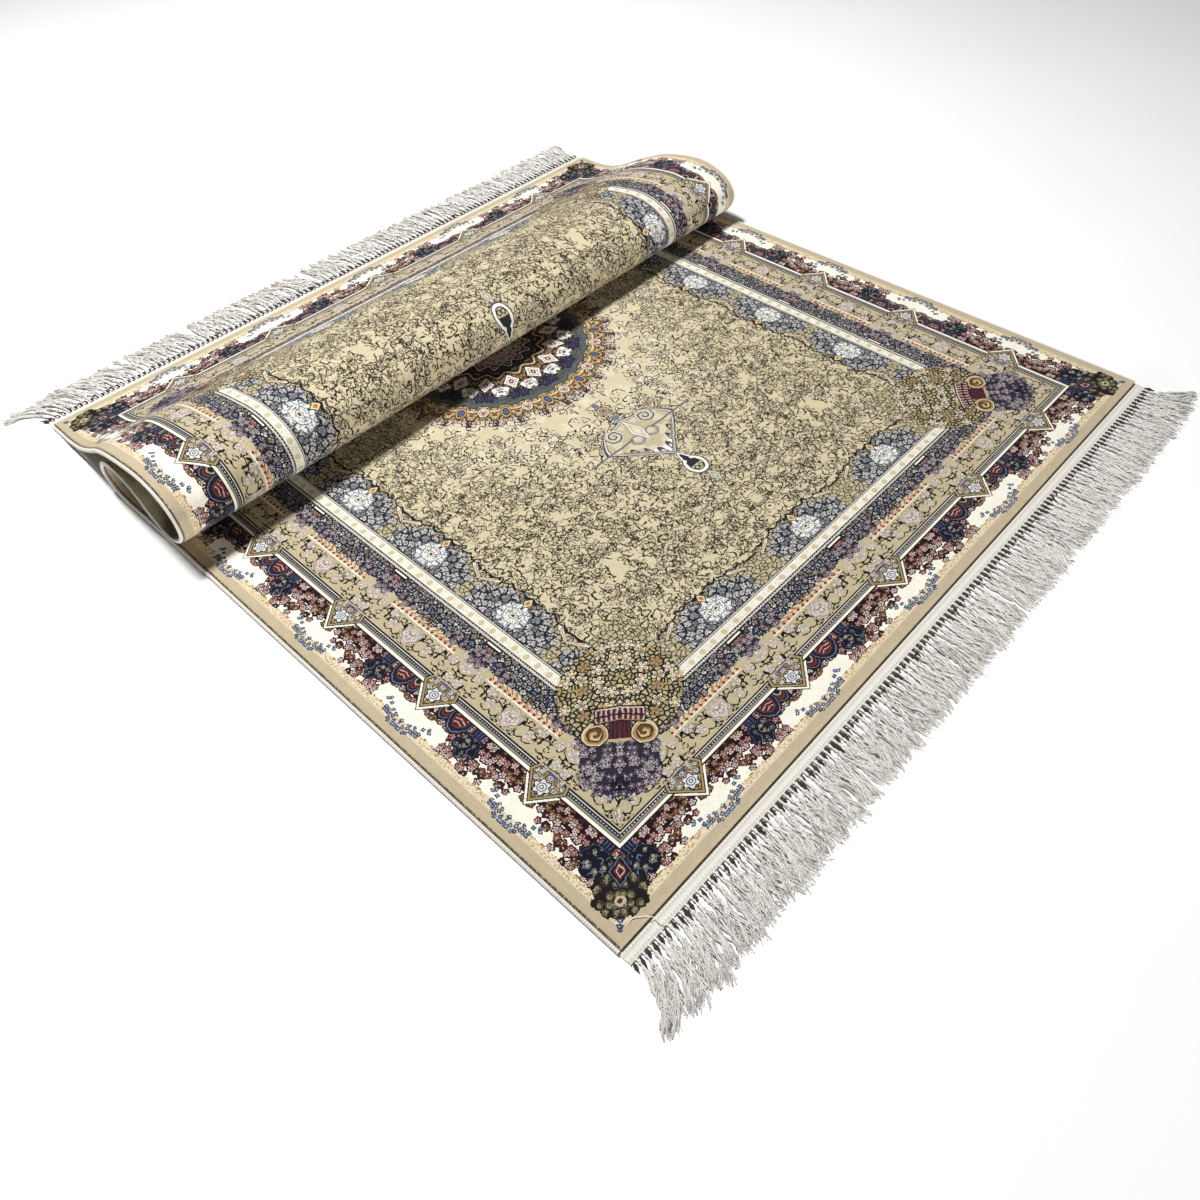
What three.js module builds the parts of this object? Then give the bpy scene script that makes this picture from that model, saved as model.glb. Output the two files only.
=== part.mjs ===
// A hand-knotted style medallion carpet, folded twice into a flat Z and lying on the floor.
// Millimetres, +Z up. Layer 1 lies face up from the near fringe, bends up and over into the
// back loop, comes forward face down as layer 2, turns in the front loop, and goes back face
// up over both loops as layer 3, down to the floor and the far fringe.
import * as THREE from "three";
import { mergeVertices } from "three/addons/utils/BufferGeometryUtils.js";

// ---- driving sizes ----
const PILE_WIDTH = 1000;          // across the cloth, between the two bindings
const CLOTH_THICKNESS = 7;        // knotted foundation with its short pile
const PIECE_GAP = 0.3;            // left between two pieces that touch
const BINDING_WIDTH = 4;          // the overcast cord along each long edge
const BINDING_HEIGHT = 6;
const BINDING_SIDES = 6;
const TAPE_WIDTH = 14;            // the plain woven strip that carries the fringe
const TAPE_HEIGHT = 2.4;
const TAPE_OVERHANG = 3;          // how far the strip passes the pile's side edge
const LOCKS_PER_END = 100;
const LOCK_LENGTH = 64;           // from the strip to the tips
const LAYER_SLUMP = 0.03;         // share of its height that the pile of layers loses mid-width
const STATIONS_PER_ROW = 3;       // steps along the cloth between two rows of the fold table
const COLUMNS = 6;                // steps across the cloth

// ---- how the cloth lies: its middle surface along the left and the right edge ----
// The places run along the floor from the near pile edge, the heights up from the floor.
const FLAT = CLOTH_THICKNESS / 2;
const FOLD_COLUMNS = ["leftPlace", "leftHeight", "rightPlace", "rightHeight", "shift"];
const FOLD_TABLE = [
  [0, FLAT, 0, FLAT, 0],                // layer 1, flat on the floor
  [200, FLAT, 200, FLAT, 0],
  [400, FLAT, 400, FLAT, 0],
  [600, FLAT, 600, FLAT, 0],
  [760, FLAT, 790, FLAT, 0],
  [810, 4.2, 846, 4.4, -1],             // back loop
  [836, 12, 870, 8.5, -1],
  [845, 27, 880, 17, -1],
  [836, 46, 871, 26, -1],
  [814, 61, 850, 34, -1],
  [789, 66.5, 818, 42.5, -1],           // layer 2, face down, coming forward
  [767, 62, 784, 43, -1],
  [748, 48, 755, 36, -1],
  [737, 32, 737, 24, -1],
  [726, 18, 720, 15.5, 0],
  [712, 13, 703, 12.7, 0],              // front loop, standing on layer 1
  [696, 14, 688, 15, 0],
  [670, 30, 673, 25, 0],
  [655, 50, 666, 41, 0],
  [653, 72, 670, 56, 0],
  [662, 90, 684, 69, 0],
  [682, 101, 709, 78, 0],
  [712, 102.5, 734, 80.5, 0.5],         // layer 3, face up, going back and down
  [756, 94, 760, 78, 1],
  [794, 85, 787, 73, 1],
  [832, 69.5, 814, 65, 2],
  [881, 42, 855, 47, 3],
  [932, 17, 899, 24, 4],
  [968, 9, 931, 11, 4],
  [992, 5, 962, 5, 5],
  [1020, FLAT, 1008, FLAT, 5],
];

// ---- how the locks of each fringe lean: place across (0 left, 1 right), degrees to the left ----
const NEAR_LEAN = [[0, 22], [0.1, 8], [0.5, 3], [0.9, -6], [1, -22]];
const FAR_LEAN = [[0, 44], [0.05, 30], [0.15, 12], [0.5, 11], [0.9, 5], [1, -4]];
const CLUMP_LEAN = 4;             // degrees that groups of locks wander to either side
const CLUMP_LOCKS = 13;           // locks in one such wander

// One lock, from its root on the strip to its tip: share of the length, width, height.
const LOCK_SECTIONS = [
  { share: 0, width: 4.4, height: TAPE_HEIGHT },
  { share: 0.12, width: 6.2, height: 5 },       // the knot
  { share: 0.55, width: 6.0, height: 3.2 },
  { share: 1, width: 3.2, height: 1.2 },
];

// ---- a skin through rings of points, as a list of triangle corners ----
// Each ring runs anticlockwise when seen from the end that the rings lead to.
function skin(rings, { open = () => false, start = true, end = true } = {}) {
  const corners = [];
  const quad = (a, b, c, d) => corners.push(a, b, c, a, c, d);
  const sides = rings[0].length;
  for (let step = 0; step + 1 < rings.length; step++) {
    const [from, to] = [rings[step], rings[step + 1]];
    for (let side = 0; side < sides; side++) {
      const next = (side + 1) % sides;
      if (!open(step, side)) quad(from[side], from[next], to[next], to[side]);
    }
  }
  for (let k = 0; k + 1 < sides / 2; k++) {
    const [first, last] = [rings[0], rings.at(-1)];
    if (start) quad(first[k], first[sides - 1 - k], first[sides - 2 - k], first[k + 1]);
    if (end) quad(last[k], last[k + 1], last[sides - 2 - k], last[sides - 1 - k]);
  }
  return corners;
}

function piece(name, corners, material) {
  const geometry = mergeVertices(new THREE.BufferGeometry().setFromPoints(corners), 1e-4);
  geometry.computeVertexNormals();
  const mesh = new THREE.Mesh(geometry, material);
  mesh.name = name;
  return mesh;
}

const countTo = (n) => Array.from({ length: n + 1 }, (_, i) => i);

// ---- the fold: a smooth line along each long edge, and straight rules between them ----
const column = (name) => FOLD_COLUMNS.indexOf(name);
function edgeLine(side) {
  const toPoint = (row) => new THREE.Vector3(
    row[column("shift")], row[column(side + "Place")], row[column(side + "Height")]);
  return new THREE.CatmullRomCurve3(FOLD_TABLE.map(toPoint));
}
const leftLine = edgeLine("left");
const rightLine = edgeLine("right");

// Where a point of the cloth lies: across 0..1, along 0..1, above the middle surface.
function onCloth(across, along, above, beyondEdge = 0) {
  const slump = 1 - LAYER_SLUMP * Math.sin(Math.PI * across);
  const middle = leftLine.getPoint(along).lerp(rightLine.getPoint(along), across);
  middle.z = FLAT + Math.max(0, middle.z - FLAT) * slump;
  const run = leftLine.getTangent(along).lerp(rightLine.getTangent(along), across).setX(0).normalize();
  const up = new THREE.Vector3(0, -run.z, run.y);
  const point = middle.addScaledVector(up, above);
  point.x += across * PILE_WIDTH + beyondEdge;
  point.z = Math.max(0, point.z);
  return point;
}

const STATIONS = countTo(STATIONS_PER_ROW * (FOLD_TABLE.length - 1))
  .map((i) => i / (STATIONS_PER_ROW * (FOLD_TABLE.length - 1)));

// ---- materials ----
const wool = new THREE.MeshStandardMaterial({ color: "#b3a58a", roughness: 0.95 });
const bindingYarn = new THREE.MeshStandardMaterial({ color: "#e3ddd0", roughness: 0.85 });
const fringeYarn = new THREE.MeshStandardMaterial({ color: "#ddd7cc", roughness: 0.8 });

// ---- the cloth ----
function carpet() {
  const rings = STATIONS.map((along) => {
    const top = countTo(COLUMNS).map((i) => onCloth(i / COLUMNS, along, FLAT));
    const back = countTo(COLUMNS).map((i) => onCloth(1 - i / COLUMNS, along, -FLAT));
    return [...top, ...back];
  });
  return piece("carpet", skin(rings), wool);
}

// ---- the overcast binding along a long edge: outward is -1 on the left, 1 on the right ----
function binding(name, across, outward) {
  const turn = (2 * Math.PI) / BINDING_SIDES;
  const flatHeight = (BINDING_HEIGHT / 2) * Math.cos(turn / 2);
  const centreAbove = flatHeight - FLAT;
  const centreOut = outward * (PIECE_GAP + BINDING_WIDTH / 2);
  const rings = STATIONS.map((along) => countTo(BINDING_SIDES - 1).map((i) => {
    const angle = (i + 0.5) * turn;
    const above = centreAbove + (BINDING_HEIGHT / 2) * Math.cos(angle);
    return onCloth(across, along, above, centreOut + (BINDING_WIDTH / 2) * Math.sin(angle));
  }));
  return piece(name, skin(rings), bindingYarn);
}

// ---- a fringe: a woven strip along +X that faces -Y, with a lock every pitch ----
function leanAt(table, across, lock) {
  const upper = table.findIndex(([place]) => place >= across);
  const [fromPlace, fromLean] = table[Math.max(0, upper - 1)];
  const [toPlace, toLean] = table[upper];
  const share = toPlace > fromPlace ? (across - fromPlace) / (toPlace - fromPlace) : 0;
  const wander = CLUMP_LEAN * Math.sin((2 * Math.PI * lock) / CLUMP_LOCKS);
  return THREE.MathUtils.degToRad(THREE.MathUtils.lerp(fromLean, toLean, share) + wander);
}

// The lock leaves the strip square to it and bends steadily to its lean.
function lockRings(rootX, lean) {
  const outerY = -PIECE_GAP - TAPE_WIDTH;
  return LOCK_SECTIONS.map(({ share, width, height }) => {
    const bend = lean * share;
    const away = share * LOCK_LENGTH;
    const centre = new THREE.Vector3(
      rootX - away * Math.sin(bend), outerY - away * Math.cos(bend), 0);
    const sideways = new THREE.Vector3(Math.cos(bend), -Math.sin(bend), 0);
    const corner = (half, z) => centre.clone().addScaledVector(sideways, half).setZ(z);
    const [foot, crown] = [width / 2, share > 0 ? width / 4 : width / 2];
    return [corner(-foot, 0), corner(foot, 0), corner(crown, height), corner(-crown, height)];
  });
}

function fringe(name, leanTable) {
  const pitch = PILE_WIDTH / LOCKS_PER_END;
  const rootHalf = LOCK_SECTIONS[0].width / 2;
  const roots = countTo(LOCKS_PER_END - 1).map((i) => (i + 0.5) * pitch);
  const cuts = [-TAPE_OVERHANG, ...roots.flatMap((x) => [x - rootHalf, x + rootHalf]),
    PILE_WIDTH + TAPE_OVERHANG];
  const [innerY, outerY] = [-PIECE_GAP, -PIECE_GAP - TAPE_WIDTH];
  const stripRings = cuts.map((x) => [
    new THREE.Vector3(x, outerY, 0), new THREE.Vector3(x, innerY, 0),
    new THREE.Vector3(x, innerY, TAPE_HEIGHT), new THREE.Vector3(x, outerY, TAPE_HEIGHT)]);
  const outerSide = 3;
  const isRoot = (step, side) => side === outerSide && step % 2 === 1;
  const corners = skin(stripRings, { open: isRoot });
  roots.forEach((x, i) => {
    const rings = lockRings(x, leanAt(leanTable, x / PILE_WIDTH, i));
    corners.push(...skin(rings, { start: false }));
  });
  return piece(name, corners, fringeYarn);
}

// The far fringe is made as the near one is, and turned to face away along the far edge.
function farFringe() {
  const turned = FAR_LEAN.map(([place, lean]) => [1 - place, -lean]).reverse();
  const mesh = fringe("fringe_far", turned);
  const [leftEnd, rightEnd] = [leftLine.getPoint(1), rightLine.getPoint(1)];
  mesh.position.set(rightEnd.x + PILE_WIDTH, rightEnd.y, 0);
  mesh.rotation.z = Math.PI + Math.atan2(rightEnd.y - leftEnd.y, PILE_WIDTH);
  return mesh;
}

// ---- the whole carpet, with the middle of its footprint at the origin ----
const foldedCarpet = new THREE.Group();
foldedCarpet.add(
  carpet(),
  binding("binding_left", 0, -1),
  binding("binding_right", 1, 1),
  fringe("fringe_near", NEAR_LEAN),
  farFringe(),
);
const footprint = new THREE.Box3().setFromObject(foldedCarpet, true);
const middle = footprint.getCenter(new THREE.Vector3());
foldedCarpet.position.set(-middle.x, -middle.y, -footprint.min.z);

export default foldedCarpet;
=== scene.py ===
# %% [markdown]
# A medallion carpet, one metre wide and a metre and a half long, lies folded in a flat Z. It is
# made of five things: the cloth with its pile, a yarn binding along each long edge, and at each
# end a woven strip with a knotted fringe. Each is a surface worked out with numpy, and its
# colours are node patterns drawn in millimetres of the flat, unfolded carpet.

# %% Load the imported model
import ast
import math
import bpy
import numpy as np
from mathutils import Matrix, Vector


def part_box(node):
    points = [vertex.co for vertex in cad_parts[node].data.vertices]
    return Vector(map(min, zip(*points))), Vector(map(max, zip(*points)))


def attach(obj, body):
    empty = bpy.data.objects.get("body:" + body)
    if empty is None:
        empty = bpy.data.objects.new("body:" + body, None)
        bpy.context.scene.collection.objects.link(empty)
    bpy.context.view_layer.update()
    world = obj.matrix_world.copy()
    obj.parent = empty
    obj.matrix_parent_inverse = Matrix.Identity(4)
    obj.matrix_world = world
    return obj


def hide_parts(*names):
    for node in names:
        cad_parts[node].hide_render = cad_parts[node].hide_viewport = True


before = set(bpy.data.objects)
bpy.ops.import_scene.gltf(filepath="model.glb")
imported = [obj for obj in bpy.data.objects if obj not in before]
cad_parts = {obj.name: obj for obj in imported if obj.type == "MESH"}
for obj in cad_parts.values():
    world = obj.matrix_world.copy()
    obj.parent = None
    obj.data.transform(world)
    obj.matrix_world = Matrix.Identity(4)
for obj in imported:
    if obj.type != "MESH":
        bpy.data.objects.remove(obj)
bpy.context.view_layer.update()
MM = 0.001
rng = np.random.default_rng(7)

# %% [markdown]
# The camera stands close to the near left corner and looks down along the diagonal, so the
# lens is wide and the near corner looms large. Its place and turn are given in the carpet's
# own millimetres, from the near left corner of the pile on the floor.

# %% Camera
CAMERA_PLACE = np.array([-194.9, -193.9, 777.4])
CAMERA_TURN = (40.133, 1.870, -46.897)
CAMERA_LENS = 27.99
carpet_low = np.array(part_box("carpet")[0]) / MM


def make_camera(origin):
    """Camera at CAMERA_PLACE from origin (mm), turned about X, Y and Z by CAMERA_TURN degrees."""
    data = bpy.data.cameras.new("camera")
    data.lens, data.sensor_width = CAMERA_LENS, 36
    data.clip_start, data.clip_end = 0.01, 100
    camera = bpy.data.objects.new("camera", data)
    camera.location = (origin + CAMERA_PLACE) * MM
    camera.rotation_euler = [math.radians(angle) for angle in CAMERA_TURN]
    bpy.context.collection.objects.link(camera)
    bpy.context.scene.camera = camera


# %% [markdown]
# The cloth lies on a line that is known at both long edges: flat on the floor, up and over in
# the back loop, forward, round the front loop, and back over both to the floor. A cloth
# simulation could fold it too, but wouldn't settle just so. Here a smooth curve through the rows
# of this table gives each edge line, and straight rules join the two.

# %% How the cloth lies
CLOTH_THICKNESS = 7.0
PILE_WIDTH = 1000.0
FLAT = CLOTH_THICKNESS / 2
LAYER_SLUMP = 0.03
# each row: left place, left height, right place, right height, shift to the right
FOLD_TABLE = np.array([
    [0, FLAT, 0, FLAT, 0], [200, FLAT, 200, FLAT, 0], [400, FLAT, 400, FLAT, 0],
    [600, FLAT, 600, FLAT, 0], [760, FLAT, 790, FLAT, 0],
    # back loop
    [810, 4.2, 846, 4.4, -1], [836, 12, 870, 8.5, -1], [845, 27, 880, 17, -1],
    [836, 46, 871, 26, -1], [814, 61, 850, 34, -1],
    # second layer, face down
    [789, 66.5, 818, 42.5, -1], [767, 62, 784, 43, -1], [748, 48, 755, 36, -1],
    [737, 32, 737, 24, -1], [726, 18, 720, 15.5, 0],
    # front loop
    [712, 13, 703, 12.7, 0], [696, 14, 688, 15, 0], [670, 30, 673, 25, 0],
    [655, 50, 666, 41, 0], [653, 72, 670, 56, 0], [662, 90, 684, 69, 0], [682, 101, 709, 78, 0],
    # third layer, back over both loops and down to the floor
    [712, 102.5, 734, 80.5, 0.5], [756, 94, 760, 78, 1], [794, 85, 787, 73, 1],
    [832, 69.5, 814, 65, 2], [881, 42, 855, 47, 3], [932, 17, 899, 24, 4],
    [968, 9, 931, 11, 4], [992, 5, 962, 5, 5], [1020, FLAT, 1008, FLAT, 5]])


# %% How the cloth lies: from the table to a line
def smooth_line(points, t):
    """Centripetal Catmull-Rom line at t in 0..1: between two points it is a cubic whose end
    slopes weigh the neighbouring steps by the square roots of their lengths."""
    ends = np.vstack([2 * points[0] - points[1], points, 2 * points[-1] - points[-2]])
    spot = t * (len(points) - 1)
    first = np.minimum(spot.astype(int), len(points) - 2)
    w = (spot - first)[:, None]
    p0, p1, p2, p3 = (ends[first + k] for k in range(4))
    d0, d1, d2 = (np.linalg.norm(b - a, axis=1, keepdims=True) ** 0.5
                  for a, b in ((p0, p1), (p1, p2), (p2, p3)))
    slope_1 = ((p1 - p0) / d0 - (p2 - p0) / (d0 + d1) + (p2 - p1) / d1) * d1
    slope_2 = ((p2 - p1) / d1 - (p3 - p1) / (d1 + d2) + (p3 - p2) / d2) * d1
    return (p1 + slope_1 * w + (3 * (p2 - p1) - 2 * slope_1 - slope_2) * w ** 2
            + (2 * (p1 - p2) + slope_1 + slope_2) * w ** 3)


LINE_POINTS = 6001                 # steps of 0.25 mm on average, about 1 mm at most
OUTLINE_POINTS = 2001              # enough to find how far the edges reach
T = np.linspace(0, 1, LINE_POINTS)
LEFT_LINE, RIGHT_LINE = (smooth_line(FOLD_TABLE[:, [4, place, place + 1]], T) for place in (0, 2))


def middle_line(across):
    """The cloth's middle line at one place across: a straight blend of the two edge lines,
    a little lower mid-width, where the raised layers slump."""
    line = LEFT_LINE * (1 - across) + RIGHT_LINE * across
    slump = 1 - LAYER_SLUMP * math.sin(math.pi * across)
    line[:, 2] = FLAT + np.maximum(0, line[:, 2] - FLAT) * slump
    return line


def lay(across, cut, above):
    """Folded places (mm) of a grid: across holds shares of the width, cut holds shares of the
    length, measured along the cloth, and above is the height over its middle surface."""
    above = np.broadcast_to(above, (len(cut), len(across)))
    places = np.empty((len(cut), len(across), 3))
    for column, share in enumerate(across):
        line = middle_line(min(max(share, 0), 1))
        run = np.gradient(line[:, 1:], axis=0)
        run /= np.linalg.norm(run, axis=1, keepdims=True)
        length = np.r_[0, np.cumsum(np.linalg.norm(np.diff(line, axis=0), axis=1))]
        spot = np.interp(cut * length[-1], length, T)
        x, y, z, run_y, run_z = (np.interp(spot, T, part) for part in (*line.T, *run.T))
        places[:, column, 0] = x + share * PILE_WIDTH
        places[:, column, 1] = y - run_z * above[:, column]
        places[:, column, 2] = z + run_y * above[:, column]
    return places


def length_at(across):
    """Length of the cloth at one place across: the sum of its middle line's steps."""
    return np.linalg.norm(np.diff(middle_line(across), axis=0), axis=1).sum()


CLOTH_LENGTH = float(np.mean([length_at(share) for share in (0, 0.5, 1)]))
edges_of_cloth = lay(np.array([0.0, 1.0]), np.linspace(0, 1, OUTLINE_POINTS), 0.0)
origin = np.array([carpet_low[0] - edges_of_cloth[..., 0].min(), carpet_low[1], 0.0])
make_camera(origin)
print(f"cloth {PILE_WIDTH:.0f} x {CLOTH_LENGTH:.0f} mm, near left pile corner at {origin.round(2)}")

# %% [markdown]
# Every piece is a tube or a flat ring: rows of points that close on themselves, with one face
# between each four neighbours. They could be extruded by hand, but there are thousands of yarns,
# so their points are worked out. The helpers make the faces, cap the ends, and store named
# numbers on the points for the materials to read.

# %% Grid helpers
def grid_faces(rows, columns):
    """Faces (i, j), (i, j+1), (i+1, j+1), (i+1, j) of a grid whose rows close on themselves."""
    i, j = np.meshgrid(np.arange(rows - 1), np.arange(columns), indexing="ij")
    nxt = (j + 1) % columns
    quads = np.stack([i * columns + j, i * columns + nxt, (i + 1) * columns + nxt,
                      (i + 1) * columns + j], -1)
    return quads.reshape(-1, 4)


def tube_faces(count, rings, sides):
    """Walls and end caps of count closed tubes, whose rings of points follow each other."""
    starts = (np.arange(count) * rings * sides)[:, None, None]
    wall = grid_faces(rings, sides)[:, ::-1] + starts
    ring = np.arange(sides)
    caps = np.array([ring, ring[::-1] + (rings - 1) * sides]) + starts
    return [wall.reshape(-1, 4), caps.reshape(-1, sides)]


def new_piece(name, points, faces, material, values):
    """An object from points in carpet millimetres. values: attribute name -> a row of
    three numbers for each point."""
    mesh = bpy.data.meshes.new(name)
    faces = [np.asarray(part) for part in (faces if isinstance(faces, list) else [faces])]
    loops = np.concatenate([part.ravel() for part in faces]).astype(np.int32)
    sizes = np.concatenate([np.full(len(part), part.shape[1]) for part in faces])
    mesh.vertices.add(len(points))
    mesh.vertices.foreach_set("co", ((points + origin) * MM).astype(np.float32).ravel())
    mesh.loops.add(len(loops))
    mesh.loops.foreach_set("vertex_index", loops)
    mesh.polygons.add(len(sizes))
    mesh.polygons.foreach_set("loop_start", np.r_[0, np.cumsum(sizes)[:-1]].astype(np.int32))
    mesh.polygons.foreach_set("use_smooth", np.full(len(sizes), True))
    for key, value in values.items():
        layer = mesh.attributes.new(key, "FLOAT_VECTOR", "POINT")
        layer.data.foreach_set("vector", value.astype(np.float32).ravel())
    mesh.update(calc_edges=True)
    mesh.validate()
    for finish in material if isinstance(material, (list, tuple)) else [material]:
        mesh.materials.append(finish)
    piece = bpy.data.objects.new(name, mesh)
    bpy.context.collection.objects.link(piece)
    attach(piece, "root")
    print(f"{name}: {len(points)} points, {int((sizes - 2).sum())} triangles")
    return piece

# %% [markdown]
# The design is woven flat, so its colours are drawn on flat coordinates: millimetres from the
# middle of the carpet, stored on each point. A picture wrapped over the cloth would blur close
# up, while formulas stay sharp. Borders keep their size at both ends. Between them the motifs
# are spaced a little wider on the upper layer, and the table takes this up in the length that
# the folds hide.

# %% Flat design coordinates
HALF_WIDTH = PILE_WIDTH / 2
HALF_LENGTH = 707.8               # from the middle of the medallion to either pile end
HIDDEN_FROM = 690.0               # cloth that the folds hide, from the near end
FAR_CUT = (0, 200, 334, 366, 430, CLOTH_LENGTH - HIDDEN_FROM)      # from the far end
FAR_DESIGN = (0, 200, 300, 328, 384, 2 * HALF_LENGTH - HIDDEN_FROM)
END_SQUEEZE = 0.911               # the borders are narrower at the ends than at the sides


def design_y(cut_mm):
    """Place in the design (mm from its middle) of a place along the cloth (mm)."""
    far = 2 * HALF_LENGTH - np.interp(CLOTH_LENGTH - cut_mm, FAR_CUT, FAR_DESIGN)
    return np.where(cut_mm < HIDDEN_FROM, cut_mm, far) - HALF_LENGTH


# zones of the design, as distances in from the pile edge
GUARD_END = 78.0
BAND_END = 165.0
GARLAND_END = 218.0
CORNER_REACH = 262.0
MEDALLION_REACH = 200.0
ZONES = ("border", "bands", "corner", "garland", "field", "medallion")


def zone_of(x, y):
    """Index in ZONES of a place in the design, by its distances from the pile edges."""
    side, end = HALF_WIDTH - abs(x), (HALF_LENGTH - abs(y)) / END_SQUEEZE
    edge = np.minimum(side, end)
    corner = np.maximum(side, end) < CORNER_REACH
    medallion = np.maximum(abs(x), abs(y)) < MEDALLION_REACH
    return np.select([edge < GUARD_END, corner, edge < BAND_END, edge < GARLAND_END, medallion],
                     [0, 2, 1, 3, 5], 4)


# %% [markdown]
# Node materials need a great many small sums. One function adds a node, and one turns a
# formula written as text into Math nodes, so that a pattern reads as its own geometry. In the
# formulas 3.1416 is pi, 0.159 is one over two pi, and 0.7071 the root of a half.

# %% Node helpers: formulas and layers
OPERATIONS = {
    ast.Add: "ADD", ast.Sub: "SUBTRACT", ast.Mult: "MULTIPLY", ast.Div: "DIVIDE",
    ast.Pow: "POWER", ast.Lt: "LESS_THAN", ast.Gt: "GREATER_THAN", "abs": "ABSOLUTE",
    "min": "MINIMUM", "max": "MAXIMUM", "sin": "SINE", "cos": "COSINE", "root": "SQRT",
    "fract": "FRACT", "floor": "FLOOR", "fold": "PINGPONG", "near": "COMPARE",
    "angle": "ARCTAN2"}


def linear(code):
    """Scene colour of an sRGB hex code: each channel c becomes ((c + 0.055) / 1.055) ** 2.4."""
    parts = [int(code[i:i + 2], 16) / 255 for i in (1, 3, 5)]
    return [c / 12.92 if c <= 0.04045 else ((c + 0.055) / 1.055) ** 2.4 for c in parts] + [1.0]


def add(tree, kind, *inputs, out=0, named=None, **settings):
    """Adds a node, applies its settings, fills its inputs in order (a socket is linked, a hex
    code becomes a colour, None is left alone) or by name, and returns the output out."""
    node = tree.nodes.new("ShaderNode" + kind)
    for key, value in settings.items():
        setattr(node, key, value)
    for socket, value in [*zip(node.inputs, inputs),
                          *((node.inputs[key], value) for key, value in (named or {}).items())]:
        if isinstance(value, bpy.types.NodeSocket):
            tree.links.new(value, socket)
        elif value is not None:
            socket.default_value = linear(value) if isinstance(value, str) else value
    return node.outputs[out] if node.outputs else node


def formula(tree, text, **names):
    """Math nodes for a formula. Its names are sockets or numbers; < and > give 1 or 0."""
    def walk(part):
        """The socket or number that one part of the formula comes to."""
        if isinstance(part, ast.Constant):
            return float(part.value)
        if isinstance(part, ast.Name):
            return names[part.id]
        if isinstance(part, ast.UnaryOp):
            inner = walk(part.operand)
            return -inner if isinstance(inner, float) else add(
                tree, "Math", inner, -1.0, operation="MULTIPLY")
        if isinstance(part, ast.BinOp):
            kind, terms = type(part.op), (part.left, part.right)
        elif isinstance(part, ast.Compare):
            kind, terms = type(part.ops[0]), (part.left, part.comparators[0])
        else:
            kind, terms = part.func.id, part.args
        return add(tree, "Math", *(walk(term) for term in terms), operation=OPERATIONS[kind])
    return walk(ast.parse(text).body[0].value)


# %% Node helpers: layers and blank finishes
def work_out(tree, names, **texts):
    """Adds to names what each formula comes to. A later one may use those before it."""
    for key, text in texts.items():
        names[key] = formula(tree, text, **names)


def layers(tree, colour, names, *rows):
    """Lays the colour of each row (formula, colour) over the rest where its formula is 1."""
    for where, over in rows:
        mask = formula(tree, where, **names)
        colour = add(tree, "Mix", named={0: mask, 6: colour, 7: over}, data_type="RGBA", out=2)
    return colour


def blank_finish(name):
    """A new material and its empty node tree."""
    finish = bpy.data.materials.new(name)
    finish.use_nodes = True
    finish.node_tree.nodes.clear()
    return finish, finish.node_tree


def stored(tree, attribute):
    """The three numbers that a piece's points hold under this name."""
    spot = add(tree, "Attribute", out="Vector", attribute_type="GEOMETRY",
               attribute_name=attribute)
    first = add(tree, "SeparateXYZ", spot)
    return first, first.node.outputs[1], first.node.outputs[2]


# %% Node helpers: stripes, noise and crowds of flowers
def stripes(tree, place, rows):
    """Colours in steps along place: rows of (where it starts, hex code), up to 256 mm."""
    span = 256.0
    output = add(tree, "ValToRGB", formula(tree, "p / s", p=place, s=span))
    ramp = output.node.color_ramp
    ramp.interpolation = "CONSTANT"
    for _ in rows[2:]:
        ramp.elements.new(1.0)
    for element, (start, code) in zip(ramp.elements, rows):
        element.position, element.color = start / span, linear(code)
    return output


def wander(tree, x, y, size, detail=1.0, seed=0.0):
    """Smooth noise about 0.5, with bumps of about size."""
    spot = add(tree, "CombineXYZ", x, y, seed)
    return add(tree, "TexNoise", named={"Vector": spot, "Scale": 1 / size, "Detail": detail})


def sway(tree, x, y, size, amount, seed=0.0):
    """x and y pushed about by up to half of amount, so that drawn shapes look hand made."""
    push = wander(tree, x, y, size, 1.0, seed).node.outputs["Color"]
    parts = add(tree, "SeparateColor", push)
    return (formula(tree, "x + (p - 0.5) * a * 2", x=x, p=parts, a=amount),
            formula(tree, "y + (p - 0.5) * a * 2", y=y, p=parts.node.outputs[1], a=amount))


def cell_edges(tree, x, y, size, seed=0.0, scatter=1.0):
    """Distance, in sizes, from the net of borders between scattered cells."""
    spot = add(tree, "CombineXYZ", formula(tree, "x + s", x=x, s=seed), y)
    return add(tree, "TexVoronoi", named={"Vector": spot, "Scale": 1 / size,
               "Randomness": scatter}, voronoi_dimensions="2D", feature="DISTANCE_TO_EDGE")


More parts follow.
